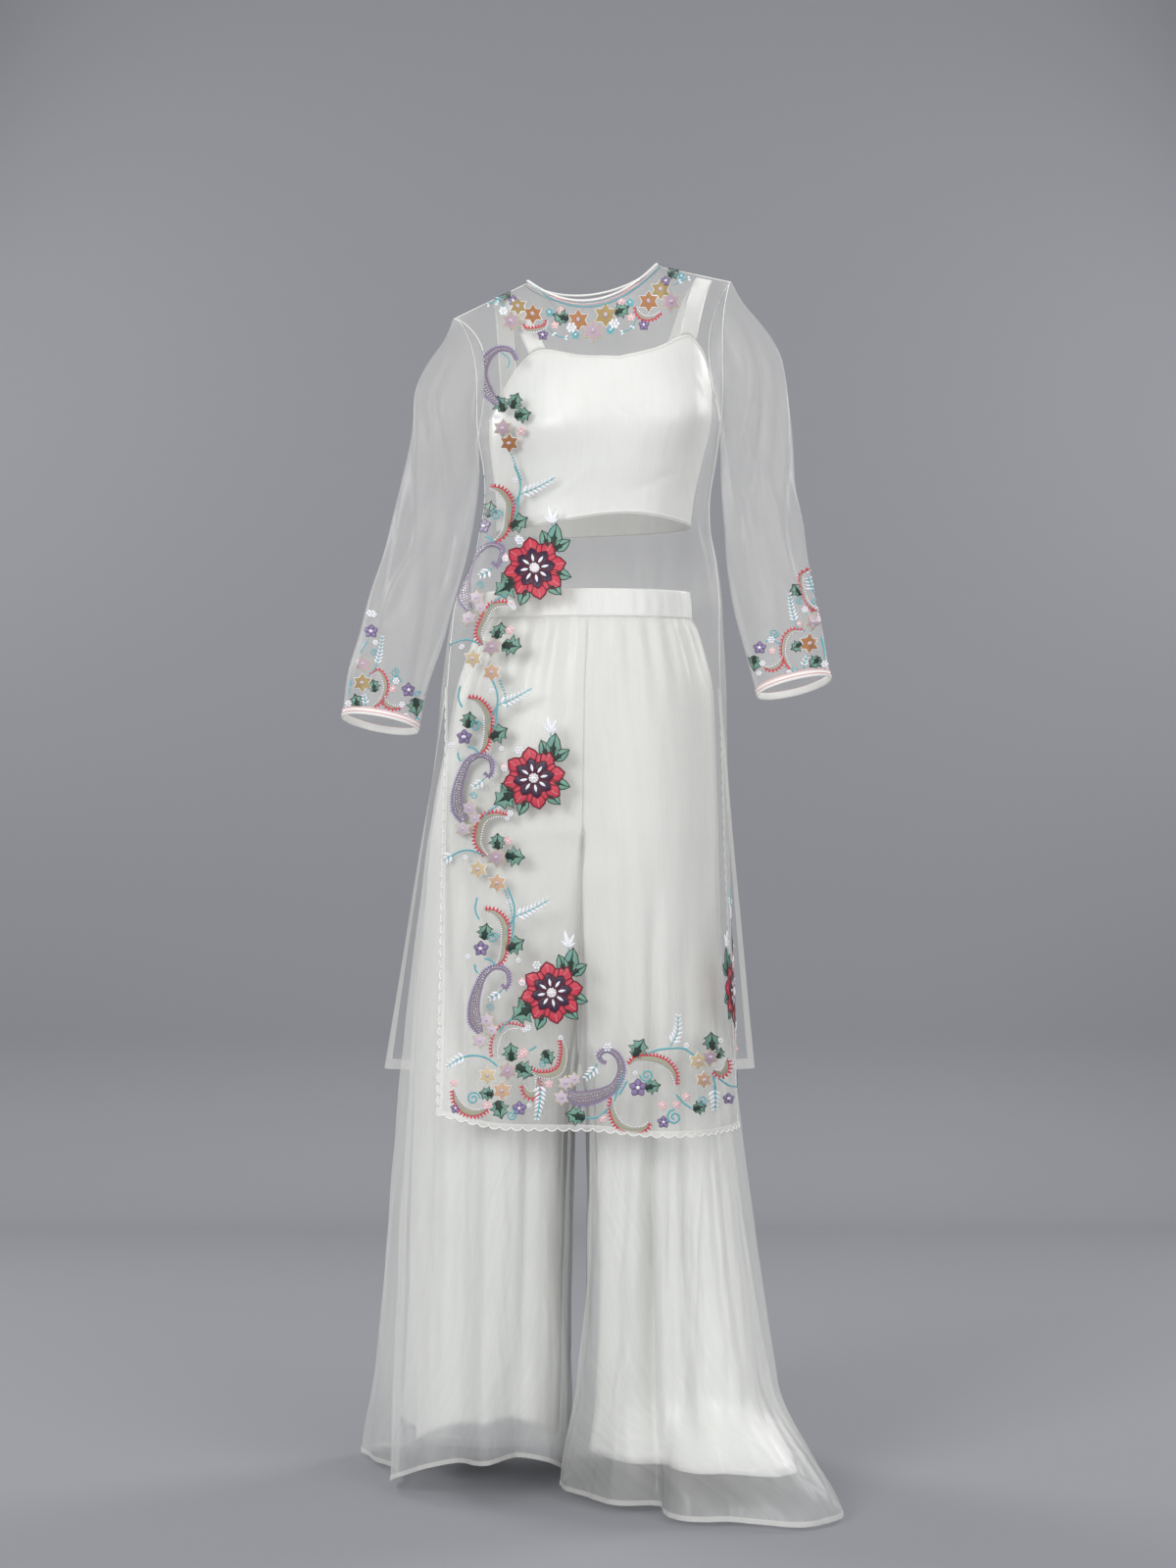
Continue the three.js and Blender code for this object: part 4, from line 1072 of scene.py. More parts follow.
angles = np.linspace(-180, 180, 241)[:-1]
edges = [camisole_cloth(angles, np.full(len(angles), at), 0.6) for at in (0.012, 0.985)]
cord_piece("camisole_edges", edges, 0.8, cotton, closed=True)

# %% [markdown]
# ## Palazzo trousers
#
# Each wide leg is cut as one big flared piece of organza with the seam on the inside,
# gathered to a waistband. It falls in soft flutes, and the wearer's left leg is long
# enough to spread on the floor. A plainer satin lining hangs inside, 45 mm shorter,
# so a clear band of organza shows below it. Crinkles cross the organza where it was
# folded in storage.

# %% Trouser legs
# station and place from, station and place to, width in stations, height in mm
LEG_CREASES = {
    -1: [
        (0.35, 1.30, 0.30, 1.98, 0.07, 3.0), (0.95, 1.30, 1.00, 1.97, 0.08, -6.0),
        (1.20, 1.40, 1.22, 1.97, 0.08, 3.5), (1.55, 1.10, 1.60, 1.97, 0.09, 3.5),
        (2.15, 1.20, 2.25, 1.96, 0.08, -3.5), (2.85, 1.10, 2.95, 1.98, 0.09, 5.0),
        (2.55, 1.05, 2.62, 1.98, 0.08, -5.0), (3.35, 1.05, 3.20, 1.97, 0.08, -3.5),
        (4.20, 1.10, 4.35, 1.98, 0.10, 4.5), (5.45, 1.10, 5.50, 1.98, 0.10, 4.0),
        (6.40, 1.15, 6.45, 1.96, 0.09, -4.0), (7.15, 1.10, 7.10, 1.97, 0.09, 4.0),
        (7.95, 1.10, 7.95, 1.96, 0.09, -4.0), (8.85, 1.10, 8.85, 1.97, 0.09, 4.0),
        (9.70, 1.15, 9.75, 1.96, 0.09, -3.5), (2.60, 1.62, 3.10, 1.55, 0.05, 1.6),
        (2.80, 1.72, 3.20, 1.66, 0.05, -1.4), (1.20, 1.82, 1.80, 1.88, 0.05, 1.6),
        (0.30, 1.80, 0.80, 1.76, 0.05, 1.4),
    ],
    1: [
        (0.55, 1.30, 0.45, 1.97, 0.08, 4.0), (0.90, 1.35, 0.85, 1.96, 0.06, -3.0),
        (1.52, 1.20, 1.46, 1.97, 0.08, 4.0), (1.10, 1.30, 1.02, 1.97, 0.06, -4.0),
        (1.80, 1.12, 1.74, 1.98, 0.09, -8.0), (1.90, 1.15, 1.85, 1.98, 0.03, 3.5),
        (2.02, 1.15, 1.98, 1.97, 0.08, 5.0), (2.15, 1.45, 2.20, 1.90, 0.05, -3.0),
        (2.62, 1.30, 2.70, 1.96, 0.07, -4.5), (2.95, 1.50, 2.60, 1.90, 0.05, 3.0),
        (3.30, 1.35, 3.45, 1.97, 0.08, 5.0), (3.62, 1.30, 3.70, 1.90, 0.06, -4.0),
        (4.15, 1.25, 4.20, 1.96, 0.08, 4.0), (4.90, 1.25, 4.95, 1.97, 0.09, -4.5),
        (5.50, 1.25, 5.50, 1.97, 0.09, 4.5), (6.70, 1.20, 6.75, 1.96, 0.09, 4.0),
        (7.35, 1.20, 7.35, 1.96, 0.08, -4.0), (8.30, 1.20, 8.32, 1.96, 0.08, 4.0),
        (8.92, 1.20, 8.92, 1.96, 0.08, -4.0), (9.60, 1.20, 9.62, 1.96, 0.09, 4.0),
        (0.90, 1.60, 1.35, 1.74, 0.05, 2.2), (1.00, 1.72, 1.40, 1.84, 0.05, -2.0),
        (1.10, 1.86, 1.45, 1.78, 0.05, 2.2), (2.30, 1.62, 2.55, 1.80, 0.05, -2.4),
        (2.50, 1.70, 3.10, 1.84, 0.06, 2.6), (2.90, 1.60, 3.30, 1.76, 0.05, -2.2),
        (1.85, 1.62, 1.65, 1.50, 0.05, 1.8), (3.20, 1.86, 3.70, 1.80, 0.06, 2.4),
    ],
}
PLACE_TO_STATION = 4.0
# organza folds round more softly than a line, so each crease is drawn this many times as wide
WIDEN = 2.0
CREASE_DEPTH = {"outer": 1.7, "lining": 1.25}
# how far the inner folds of the two legs draw apart below the knee, and close up above it, mm
PARTING = 12.0
CLOSING = 6.0
# the station in the middle of those folds, and how many stations wide they are
PARTING_AT = -0.3
PARTING_WIDTH = 0.9


def leg_push(side, station, place, layer):
    """Creases and crinkle in millimetres, dying out at the waist, and the parting between the legs."""
    spot = np.stack([station, place * PLACE_TO_STATION], axis=-1)
    lines = [(a, b * PLACE_TO_STATION, c, d * PLACE_TO_STATION, WIDEN * width, height)
             for a, b, c, d, width, height in LEG_CREASES[side]]
    gathers = 1.3 * np.sin(station * 9.3) * np.exp(-((place / 0.35) ** 2)) * smooth(place / 0.05)
    fine = 1.8 * rippled(station + 2.0, place * 1.5, 1.4) * smooth((place - 0.9) / 0.5)
    finer = 0.6 * rippled(station * 1.9 + place * 2.2, place * 5.0 - station, 0.8)
    finer = finer * smooth((place - 1.1) / 0.4)
    edge = np.where(place < 1.02, np.clip(np.minimum(station, INNER_FROM - station), 0, None), 1.0)
    beside = (np.mod(station - PARTING_AT + STATIONS / 2, STATIONS) - STATIONS / 2) / PARTING_WIDTH
    apart = PARTING * smooth((place - 1.3) / 0.15) * smooth((1.9 - place) / 0.25)
    together = CLOSING * smooth((place - 1.0) / 0.08) * smooth((1.42 - place) / 0.12)
    parting = (apart - together) * np.exp(-(beside**2))
    folds = creased(spot, lines) + gathers + fine + finer
    return CREASE_DEPTH[layer] * folds * smooth(edge / 0.3) - parting


def leg_cloth(side, station, place, layer="outer", lift=0.0):
    station, place = np.broadcast_arrays(np.asarray(station, float), np.asarray(place, float))
    turns = np.mod(station, STATIONS)
    push = leg_push(side, turns, place, layer) + lift
    return leg_point(side, turns, place, layer == "lining", -push)


# columns to a station, rows above and below the crotch, material, slot, thickness
LEG_LAYERS = {
    "outer": (22, (40, 170), organza_leg, "organza", 0.0),
    "lining": (12, (24, 84), satin, "satin", SATIN_WALL),
}
for layer, (per_station, (upper, lower), material, slot, wall) in LEG_LAYERS.items():
    for side, word in SIDES.items():
        places = steps((0, 1, upper), (1, 2, lower))
        columns = STATIONS * per_station
        grid = leg_cloth(side, np.arange(columns)[None, :] / per_station, places[:, None], layer)
        keep = np.ones((len(places) - 1, columns), bool)
        keep[:upper, int(INNER_FROM) * per_station:] = False
        piece = sew(f"palazzo_{word}_{layer}", grid, material, closed=True, flip=side < 0,
                    thickness=wall, keep=keep)
        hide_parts(f"palazzo_{layer}_{word}")
        print(piece.name, "square metres of surface:", area_of(piece))

# %% [markdown]
# The waistband is a casing of satin round an elastic. Elastic pulls cloth into many
# small upright gathers that fade at the two sewn edges, so a ring of sines between the
# edges says all of it, and no pleat has to be placed by hand.

# %% Waistband
WAIST_COLUMNS = 180
around = 2 * math.pi * np.arange(WAIST_COLUMNS) / WAIST_COLUMNS
down = np.linspace(0, 1, 13)[:, None]
half_width = mix(WAIST_HALF[0][0], WAIST_HALF[1][0], down)
half_depth = mix(WAIST_HALF[0][1], WAIST_HALF[1][1], down)
gather = 0.7 * np.sin(around * 46 + 1.5 * np.sin(around * 5)) * np.sin(math.pi * down)
grid = point((half_width + gather) * np.sin(around), -(half_depth + gather) * np.cos(around),
             mix(WAIST_TOP, WAIST_SEAM, down))
piece = sew("palazzo_waist_casing", grid, satin, closed=True, thickness=1.4)
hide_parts("palazzo_waistband")
print(piece.name, "square metres of surface:", area_of(piece))

# %% [markdown]
# ## Hems, seams and edging
#
# Sheer cloth shows its making. Every turned hem is a second layer, so it reads whiter
# than the cloth beside it, and every seam has its allowance rolled into a white line.
# The trouser hems are narrow. The back of the kurta has a wider plain hem and turned
# slit edges. The front has a scalloped edge down one slit, along the hem and up the
# other slit.

# %% Turned hems
HEM_LIFT = 0.6
# shares of the cloth's own two directions: 6 mm of trouser, 14 mm of kurta, 9 mm beside a slit
LEG_HEM_DEPTH = 0.0075
BACK_HEM_DEPTH = 0.028
SLIT_TURN = 0.035

per_station = LEG_LAYERS["outer"][0]
stations = np.arange(STATIONS * per_station)[None, :] / per_station
for side, word in SIDES.items():
    places = np.linspace(2 - LEG_HEM_DEPTH, 2.0, 4)[:, None]
    grid = leg_cloth(side, stations, places, "outer", HEM_LIFT)
    piece = sew(f"palazzo_{word}_hem", grid, organza_hem, closed=True, flip=side < 0)

shares = -np.linspace(-1, 1, PANEL_COLUMNS)
grid = panel_point("back", shares[None, :], np.linspace(3 - BACK_HEM_DEPTH, 3, 5)[:, None], -HEM_LIFT)
sew("kurta_back_hem", grid, organza_hem)
for word, side in (("right", -1), ("left", 1)):
    across = np.linspace(side, side * (1 - SLIT_TURN), 5)
    across = across if side > 0 else across[::-1]
    grid = panel_point("back", across[None, :], np.linspace(2, 3 - BACK_HEM_DEPTH, 100)[:, None], -HEM_LIFT)
    sew(f"kurta_back_slit_{word}", grid, organza_hem)
print("points round a trouser hem:", stations.size)

# %% Seams
SEAM_RADIUS = 0.6
SEAM_SHARE = 0.998
seams = []
for side in SIDES:
    rim = np.linspace(0, 1, 60)
    front = panel_point("front", side * SEAM_SHARE, rim)
    back = panel_point("back", side * SEAM_SHARE, rim[::-1])
    seams.append(np.concatenate([front, back[1:]]))
    seams.append(panel_point("front", side * SEAM_SHARE, np.linspace(1, 2, 80)))
    shoulder = side * np.linspace(NECK_SHARE, 1, 30)
    seams.append(top_edge("front", shoulder) + [0, 0.2, 0.4])
cord_piece("kurta_seams", seams, SEAM_RADIUS, cotton)
print("seams of the kurta:", len(seams))

# %% [markdown]
# The neck is bound with a rolled strip of cotton, and the sleeves end in narrow cotton
# bands. Both carry couched cords. A cord is the same small round tube everywhere, laid
# along a line on the cloth, because a curve object would have to be bent to each fold
# again after every change.

# %% Neck binding
neck = np.concatenate([
    top_edge("front", NECK_SHARE * np.linspace(-1, 1, 80)[:-1]),
    top_edge("back", NECK_SHARE * np.linspace(1, -1, 80)[:-1]),
])
binding = neck * [0.975, 0.975, 1.0] + [0.0, 0.0, 3.6]
piece = cord_piece("neck_binding_cord", [binding], 1.5, cotton, closed=True)
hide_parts("neck_binding")
for word, silk, level in (("inner", "blush", 0.012), ("outer", "teal", 0.034)):
    ring = np.concatenate([
        panel_point(face, NECK_SHARE * 0.97 * np.linspace(turn, -turn, 80), np.full(80, level), 0.9)
        for face, turn in (("front", -1), ("back", 1))
    ])
    cord_piece(f"neck_{word}_cord", [ring], 0.9, silks[silk], closed=True)
print("points round the neck:", len(neck))

# %% Cuffs
CUFF_HEIGHT = 9.0
CUFF_GAP = 0.5
for side, word in SIDES.items():
    lean, slope = (math.radians(turn) for turn in SLEEVES[side][0][5:])
    out = np.array([side * math.cos(slope), 0.0, math.sin(slope)])
    front = np.array([0.0, -math.cos(lean), math.sin(lean)])
    run = np.cross(out, front)
    run *= -np.sign(run[2]) / np.linalg.norm(run)
    rim = sleeve_cloth(side, SLEEVE_AROUND, 1.0, 0.3)
    drops = (CUFF_GAP + CUFF_HEIGHT * np.linspace(0, 1, 5))[:, None, None]
    grid = rim[None] + run * drops
    piece = sew(f"cuff_{word}", grid, cotton, closed=True, flip=side > 0, thickness=1.2)
    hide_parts(f"cuff_band_{word}")
    lines = [rim + run * (CUFF_GAP + CUFF_HEIGHT * share) for share in (0.0, 0.55)]
    cord_piece(f"cuff_cords_{word}", lines, 0.9, silks["blush"], closed=True)
    print(piece.name, "slopes, degrees:", SLEEVES[side][0][5:])

# %% [markdown]
# The scallops are one strip of folded organza. Its outer line swings in and out with a
# sine whose dips are sharp, as buttonhole stitch makes them, one scallop every 14 mm.
# The line is first set out in even steps on the cloth, so that the scallops keep their
# size round the corners.

# %% Scalloped edge of the front panel
SCALLOP_PITCH = 14.0
SCALLOP_DEPTH = 4.2
SCALLOP_WIDTH = 3.6
EDGE_STEP = 1.5
SMOOTHING = 9
path = np.concatenate([
    np.stack([np.full(300, -1.0), np.linspace(2, 3, 300)], axis=-1),
    np.stack([np.linspace(-1, 1, 500)[1:], np.full(499, 3.0)], axis=-1),
    np.stack([np.full(299, 1.0), np.linspace(3, 2, 300)[1:]], axis=-1),
])
edge = panel_point("front", path[:, 0], path[:, 1])
length = np.concatenate([[0], np.linalg.norm(np.diff(edge, axis=0), axis=1).cumsum()])
even = np.arange(0, length[-1], EDGE_STEP)
path = np.stack([np.interp(even, length, path[:, axis]) for axis in (0, 1)], axis=-1)
edge = panel_point("front", path[:, 0], path[:, 1])
inner_path = (path[:, 0] * 0.995, np.minimum(path[:, 1], 2.995))
face_out = panel_point("front", *inner_path, 1.0) - panel_point("front", *inner_path)
away = np.cross(normalised(np.gradient(edge, axis=0)), face_out)
kernel = np.ones(SMOOTHING) / SMOOTHING
padded = np.pad(away, ((SMOOTHING // 2, SMOOTHING // 2), (0, 0)), "edge")
away = normalised(np.stack([np.convolve(column, kernel, "valid") for column in padded.T], axis=-1))
scallop = SCALLOP_DEPTH * np.abs(np.sin(math.pi * even / SCALLOP_PITCH)) ** 0.7
rows = [(-SCALLOP_WIDTH, 0.5), (-SCALLOP_WIDTH / 2, 0.9), (0.0, 0.9), (None, 0.7)]
grid = np.stack([
    edge + away * (scallop if reach is None else np.full(len(even), reach))[:, None] + face_out * lift
    for reach, lift in rows
])
sew("kurta_front_scallops", grid, organza_hem)
satin_edge = edge + away * scallop[:, None] + face_out * 0.8
cord_piece("kurta_scallop_cord", [satin_edge], 0.75, cotton)
print("scalloped edge, m:", round(length[-1] * MM, 2), "scallops:", int(length[-1] / SCALLOP_PITCH))

# %% [markdown]
# ## Embroidery
#
# The outfit is worked in coloured silk and small beads with ordinary flowers, leaves,
# paisleys, stars and vines. Real embroidery stands a fraction of a millimetre proud
# of the cloth, and its thread direction catches the light, so it could be painted
# only at the price of looking printed. Here each motif is a small raised mesh. It is
# drawn flat, as an embroiderer draws on paper held up before the dress, and then
# pinned on the cloth: a few Newton steps find the place on the panel that each drawn
# point covers. From there on the motif follows every drape, on any side.

# %% Drawing tools: fills, cords and beads
# metres of cloth to a pixel at the distance of the front panel
PX_TO_M = 0.00117
CORD_HALF = 0.6
SHAPES = []


def distance_along(line):
    """How far along a line each of its points is."""
    return np.cumsum(np.linalg.norm(np.diff(line, axis=0, prepend=line[:1]), axis=1))


def run_and_side(line, closed=False):
    """The direction of a line at each of its points, and the direction to its side."""
    run = np.roll(line, -1, axis=0) - np.roll(line, 1, axis=0) if closed else np.gradient(line, axis=0)
    run = normalised(run)
    return run, np.stack([run[:, 1], -run[:, 0]], axis=-1)


def shape(silk, at, lift, faces, grain):
    """Adds a shape in picture pixels with its lift off the cloth in millimetres."""
    SHAPES.append({"silk": silk, "at": at, "lift": lift, "faces": faces, "grain": grain * PX_TO_M, "hand": 1})


def curve(points, per_span=5):
    """A smooth line through points."""
    points = np.asarray(points, float)
    table = np.vstack([2 * points[0] - points[1], points, 2 * points[-1] - points[-2]])
    spans = len(points) - 1
    station = np.minimum(np.arange(spans * per_span + 1) / per_span, spans - 1e-9) + 1
    return np.stack(round_at(table, station), axis=-1)


def patch(silk, outline, height=0.8, base=0.3):
    """A raised fill with an even number of points round it."""
    ring = np.asarray(outline, float)
    after = np.roll(ring, -1, axis=0)
    if (ring[:, 0] * after[:, 1] - after[:, 0] * ring[:, 1]).sum() > 0:
        ring = ring[::-1]
    count = len(ring)
    centre = ring.mean(axis=0)
    rings = [centre + (ring - centre) * size for size in (1.0, 0.9, 0.55)]
    at = np.concatenate(rings + [centre[None]])
    lift = base + height * np.repeat([0.0, 0.7, 0.95, 1.0], [count, count, count, 1])
    here = np.arange(count)
    after = (here + 1) % count
    walls = [np.stack([here + low, after + low, after + low + count, here + low + count], axis=-1)
             for low in (0, count)]
    even = here[::2]
    fan = np.stack([np.full(len(even), 3 * count), even, even + 1, (even + 2) % count], axis=-1)
    fan[:, 1:] += 2 * count
    shape(silk, at, lift, np.concatenate(walls + [fan]), at)


def ribbon(silk, spine, half=CORD_HALF, height=0.7, base=0.35, closed=False):
    """A raised line of stitches along a spine, with one half width or one for each point."""
    spine = np.asarray(spine, float)
    half = np.broadcast_to(np.asarray(half, float), (len(spine),))
    _, side = run_and_side(spine, closed)
    across = np.array([-1.0, -0.6, 0.0, 0.6, 1.0])
    at = spine[:, None] + side[:, None] * (half[:, None] * across)[..., None]
    lift = base + height * np.broadcast_to([0.0, 0.8, 1.0, 0.8, 0.0], at.shape[:2])
    faces, _ = grid_faces(len(spine) - 1, 4, False, False)
    if closed:
        first = np.arange(4)
        last = first + 5 * (len(spine) - 1)
        faces = np.concatenate([faces, np.stack([last, first, first + 1, last + 1], axis=-1)])
    grain = np.stack(np.broadcast_arrays(distance_along(spine)[:, None], half[:, None] * across), axis=-1)
    shape(silk, at.reshape(-1, 2), lift.ravel(), faces, grain.reshape(-1, 2))


def circle(x, y, radius, count=8, turn=0.0, narrow=1.0):
    angle = np.radians(turn) + 2 * math.pi * np.arange(count) / count
    reach = radius * np.where(np.arange(count) % 2, narrow, 1.0)
    return np.stack([x + reach * np.cos(angle), y - reach * np.sin(angle)], axis=-1)


def bead(silk, x, y, radius, base=0.5):
    patch(silk, circle(x, y, radius), 1.3 * radius, base)


def beads(silk, line, radius, gap, base=0.5):
    """Beads an even gap apart along a line."""
    line = np.asarray(line, float)
    length = distance_along(line)
    for stop in np.arange(gap / 2, length[-1], gap):
        bead(silk, np.interp(stop, length, line[:, 0]), np.interp(stop, length, line[:, 1]), radius, base)


def laid(outline, base, tip, wide=1.0):
    """An outline drawn along a unit line, laid from base to tip."""
    base, axis = np.asarray(base, float), np.subtract(tip, base).astype(float)
    outline = np.asarray(outline, float)
    return base + outline[:, :1] * axis + wide * outline[:, 1:] * np.array([-axis[1], axis[0]])


def mirrored(half):
    """An outline from its lower half: points along and across, the first and last on the line."""
    return half + [(along_it, -across) for along_it, across in half[-2:0:-1]]


print("width of a couched cord, mm:", round(2 * CORD_HALF * PX_TO_M / MM, 2))

# %% [markdown]
# Each motif is one short function, named as an embroiderer would. Petals are satin
# stitch with a couched cord round them, leaves are lobed with a dark heart, the
# serrated crescents are a row of buttonhole teeth round a fill, and the feathers are
# a stem with straight barbs.

# %% Motifs
PETAL = mirrored([(0.2, 0.0), (0.3, -0.12), (0.5, -0.27), (0.7, -0.33), (0.74, -0.23), (0.86, -0.17),
                  (1.0, 0.0)])
BUD = mirrored([(0.0, 0.0), (0.2, -0.16), (0.5, -0.24), (0.8, -0.14), (1.0, 0.0)])
LONG_LEAF = mirrored([(0.0, 0.0), (0.2, -0.2), (0.45, -0.3), (0.75, -0.2), (1.0, 0.0)])
LEAF = mirrored([(0.0, 0.0), (0.14, -0.3), (0.3, -0.24), (0.38, -0.52), (0.54, -0.26), (0.7, -0.4),
                 (0.8, -0.14), (1.0, 0.0)])
HEART = mirrored([(0.0, 0.0), (0.14, -0.24), (0.3, -0.2), (0.44, -0.3), (0.5, -0.12), (0.8, 0.0)])


def about(x, y, radius, angle):
    """A point at an angle round a centre, counted from the right towards the top."""
    return x + radius * math.cos(math.radians(angle)), y - radius * math.sin(math.radians(angle))


def leaf(base, tip, outline=LEAF):
    edge = laid(outline, base, tip)
    patch("sage", edge, 0.5)
    patch("dark_green", laid(HEART, base, tip, 0.8 if outline is LEAF else 0.5), 0.5, 0.6)
    ribbon("dark_green", edge, 0.5, 0.6, closed=True)
    ribbon("dark_green", curve([base, laid([(0.5, 0.03)], base, tip)[0], tip], 3), 0.35, 0.5, 0.8)


def star(x, y, radius, silk, edge):
    points = circle(x, y, radius * 1.08, 12, 90.0, 0.6)
    patch(silk, points, 0.7, 0.5)
    ribbon(edge, points, 0.42, 0.6, closed=True)
    bead("lilac", x, y, 0.2 * radius, 1.1)


def teeth(silk, line, size, side, gap):
    """Buttonhole points along one side of a line."""
    run, _ = run_and_side(line)
    length = distance_along(line)
    for stop in np.arange(gap / 2, length[-1], gap):
        x, y, along_x, along_y = (np.interp(stop, length, column) for column in (*line.T, *run.T))
        root = np.array([x, y])
        tip = root + side * size * np.array([along_y, -along_x])
        half = 0.42 * gap * np.array([along_x, along_y])
        patch(silk, [root - half, root + half, tip + half * 0.3, tip - half * 0.3], 0.6)


def crescent(points, side=1, half=3.6, tooth=3.8):
    """A curved fill that is widest in the middle, with teeth outside and beads inside."""
    spine = curve(points)
    swell = np.sin(math.pi * np.linspace(0.08, 0.92, len(spine)))
    out = side * run_and_side(spine)[1] * (half * swell)[:, None]
    ribbon("moss", spine, half * swell, 0.6)
    teeth("coral", spine + out, tooth, side, 3.4)
    ribbon("coral", spine + out, 0.5, 0.6, 0.5)
    beads("white", spine - out * 0.9, 0.8, 2.5)
    ribbon("mauve", spine - out * 0.3, 0.4, 0.5, 0.8)


def paisley(points, halves, side=1):
    """A curled drop that grows along its spine, beaded down the middle."""
    spine = curve(points, 4)
    half = np.interp(np.linspace(0, 1, len(spine)), np.linspace(0, 1, len(halves)), halves)
    out = run_and_side(spine)[1] * half[:, None]
    ribbon("paisley", spine, half, 0.7)
    ribbon("violet", spine + out, 0.45, 0.6, 0.5)
    ribbon("violet", spine - out, 0.45, 0.6, 0.5)
    teeth("violet", spine + side * out, 2.2, side, 2.8)
    for share in (-0.45, 0.0, 0.45):
        beads("silver", (spine + share * out)[len(spine) // (2 if share else 6):], 0.8, 2.6, 0.9)


def vine(points, half=0.95):
    ribbon("teal", curve(points), half, 0.7)


def curl(x, y, radius, turn=0.0, hand=1):
    """A tendril of a turn and a half that winds in."""
    share = np.linspace(0, 1, 22)
    angle = np.radians(turn) + hand * 3 * math.pi * share
    reach = radius * (1 - 0.8 * share)
    spiral = np.stack([x + reach * np.cos(angle), y - reach * np.sin(angle)], axis=-1)
    ribbon("teal", spiral, 0.12 * radius, 0.7)


def feather(points, barb=9.5, gap=4.6):
    """A stem with slanting barbs on both sides that shorten to the tip."""
    stem = curve(points, 6)
    run, _ = run_and_side(stem)
    length = distance_along(stem)
    ribbon("teal", stem, 0.6, 0.6)
    for stop in np.arange(gap, length[-1], gap):
        root = np.array([np.interp(stop, length, column) for column in stem.T])
        ahead = np.array([np.interp(stop, length, column) for column in run.T])
        reach = barb * (1 - 0.55 * stop / length[-1])
        for side in (-1, 1):
            out = ahead * 0.65 + side * np.array([ahead[1], -ahead[0]]) * 0.75
            tip = root + reach * out
            patch("white", laid(BUD, root, tip, 0.75), 0.8, 0.5)


def small_flower(silk, x, y, radius, petals=5, turn=90.0):
    for petal in range(petals):
        angle = turn + 360 / petals * petal
        edge = laid(BUD, about(x, y, 0.1 * radius, angle), about(x, y, radius, angle), 1.8)
        patch(silk, edge, 0.6)
        if silk == "violet":
            ribbon("purple", edge, 0.3, 0.4, 0.5, closed=True)
    bead("pearl", x, y, 0.2 * radius + 0.3, 0.8)


def bead_cluster(silk, x, y, radius, count=6):
    for step in range(count):
        bead(silk, *about(x, y, 0.62 * radius, 360 / count * step), 0.3 * radius)
    bead("pearl", x, y, 0.28 * radius)


def spray(points, size=4.0):
    """A thin stem with buds along it."""
    line = curve(points, 4)
    ribbon("teal", line, 0.5, 0.5)
    for place in range(3, len(line), 4):
        ahead = normalised(line[place] - line[place - 1])
        for side in (-1, 1):
            tip = line[place] + size * (0.7 * ahead + side * 0.7 * np.array([ahead[1], -ahead[0]]))
            patch("white", laid(BUD, line[place], tip, 1.3), 0.5)


def big_flower(x, y, radius, turn, petals=8):
    """Lobed petals, a dark one on each, white drops and a beaded centre."""
    angles = [turn + 360 / petals * petal for petal in range(petals)]
    for angle in angles:
        edge = laid(PETAL, (x, y), about(x, y, radius, angle), 1.1)
        patch("coral", edge, 0.9)
        ribbon("crimson", edge, 0.8, 1.0, 0.6, closed=True)
    for angle in angles:
        inner = laid(BUD, about(x, y, 0.14 * radius, angle), about(x, y, 0.66 * radius, angle), 1.75)
        patch("purple", inner, 0.7, 1.0)
        ribbon("crimson", inner, 0.55, 0.8, 1.2, closed=True)
        drop = laid(BUD, about(x, y, 0.2 * radius, angle), about(x, y, 0.46 * radius, angle), 0.75)
        patch("white", drop, 0.5, 1.8)
        rib = [about(x, y, share * radius, angle) for share in (0.68, 0.93)]
        ribbon("rose", rib, 0.45, 0.5, 1.0)
    patch("lilac", circle(x, y, 0.12 * radius, 12), 0.6, 1.6)
    for count, share in ((6, 0.06), (10, 0.12)):
        for step in range(count):
            bead("pearl", *about(x, y, share * radius, 360 / count * step), 0.032 * radius + 0.3, 2.1)
    bead("pearl", x, y, 0.05 * radius + 0.2, 2.1)


print("petal outline points:", len(PETAL))

# %% [markdown]
# The drawing is laid out in the pixels of a picture 1200 wide and 1600 high, seen by
# the camera above. One pixel is about 1.2 mm of cloth. The neckline has a necklace of
# stars with sprays and crescents between them.

# %% Necklace of stars
def stars(rows):
    for x, y, radius, silk, edge in rows:
        star(x, y, radius, silk, edge)


def leaves(rows):
    for base, tip in rows:
        leaf(base, tip)


# x, y, radius, silk, edge
NECK_STARS = [
    (529, 313, 9, "gold", "white"), (544, 321, 10, "orange", "white"),
    (522, 328, 9.5, "mauve", "yellow"), (590, 327, 11, "orange", "white"),
    (605, 338, 11, "mauve", "yellow"), (618, 322, 12, "gold", "white"),
    (662, 308, 10.5, "orange", "white"), (674, 296, 10, "gold", "white"),
    (684, 308, 10, "mauve", "yellow"),
]
NECK_LEAVES = [
    ((580, 326), (564, 321)), ((627, 320), (642, 313)), ((521, 303), (511, 299)),
    ((682, 282), (693, 275)),
]
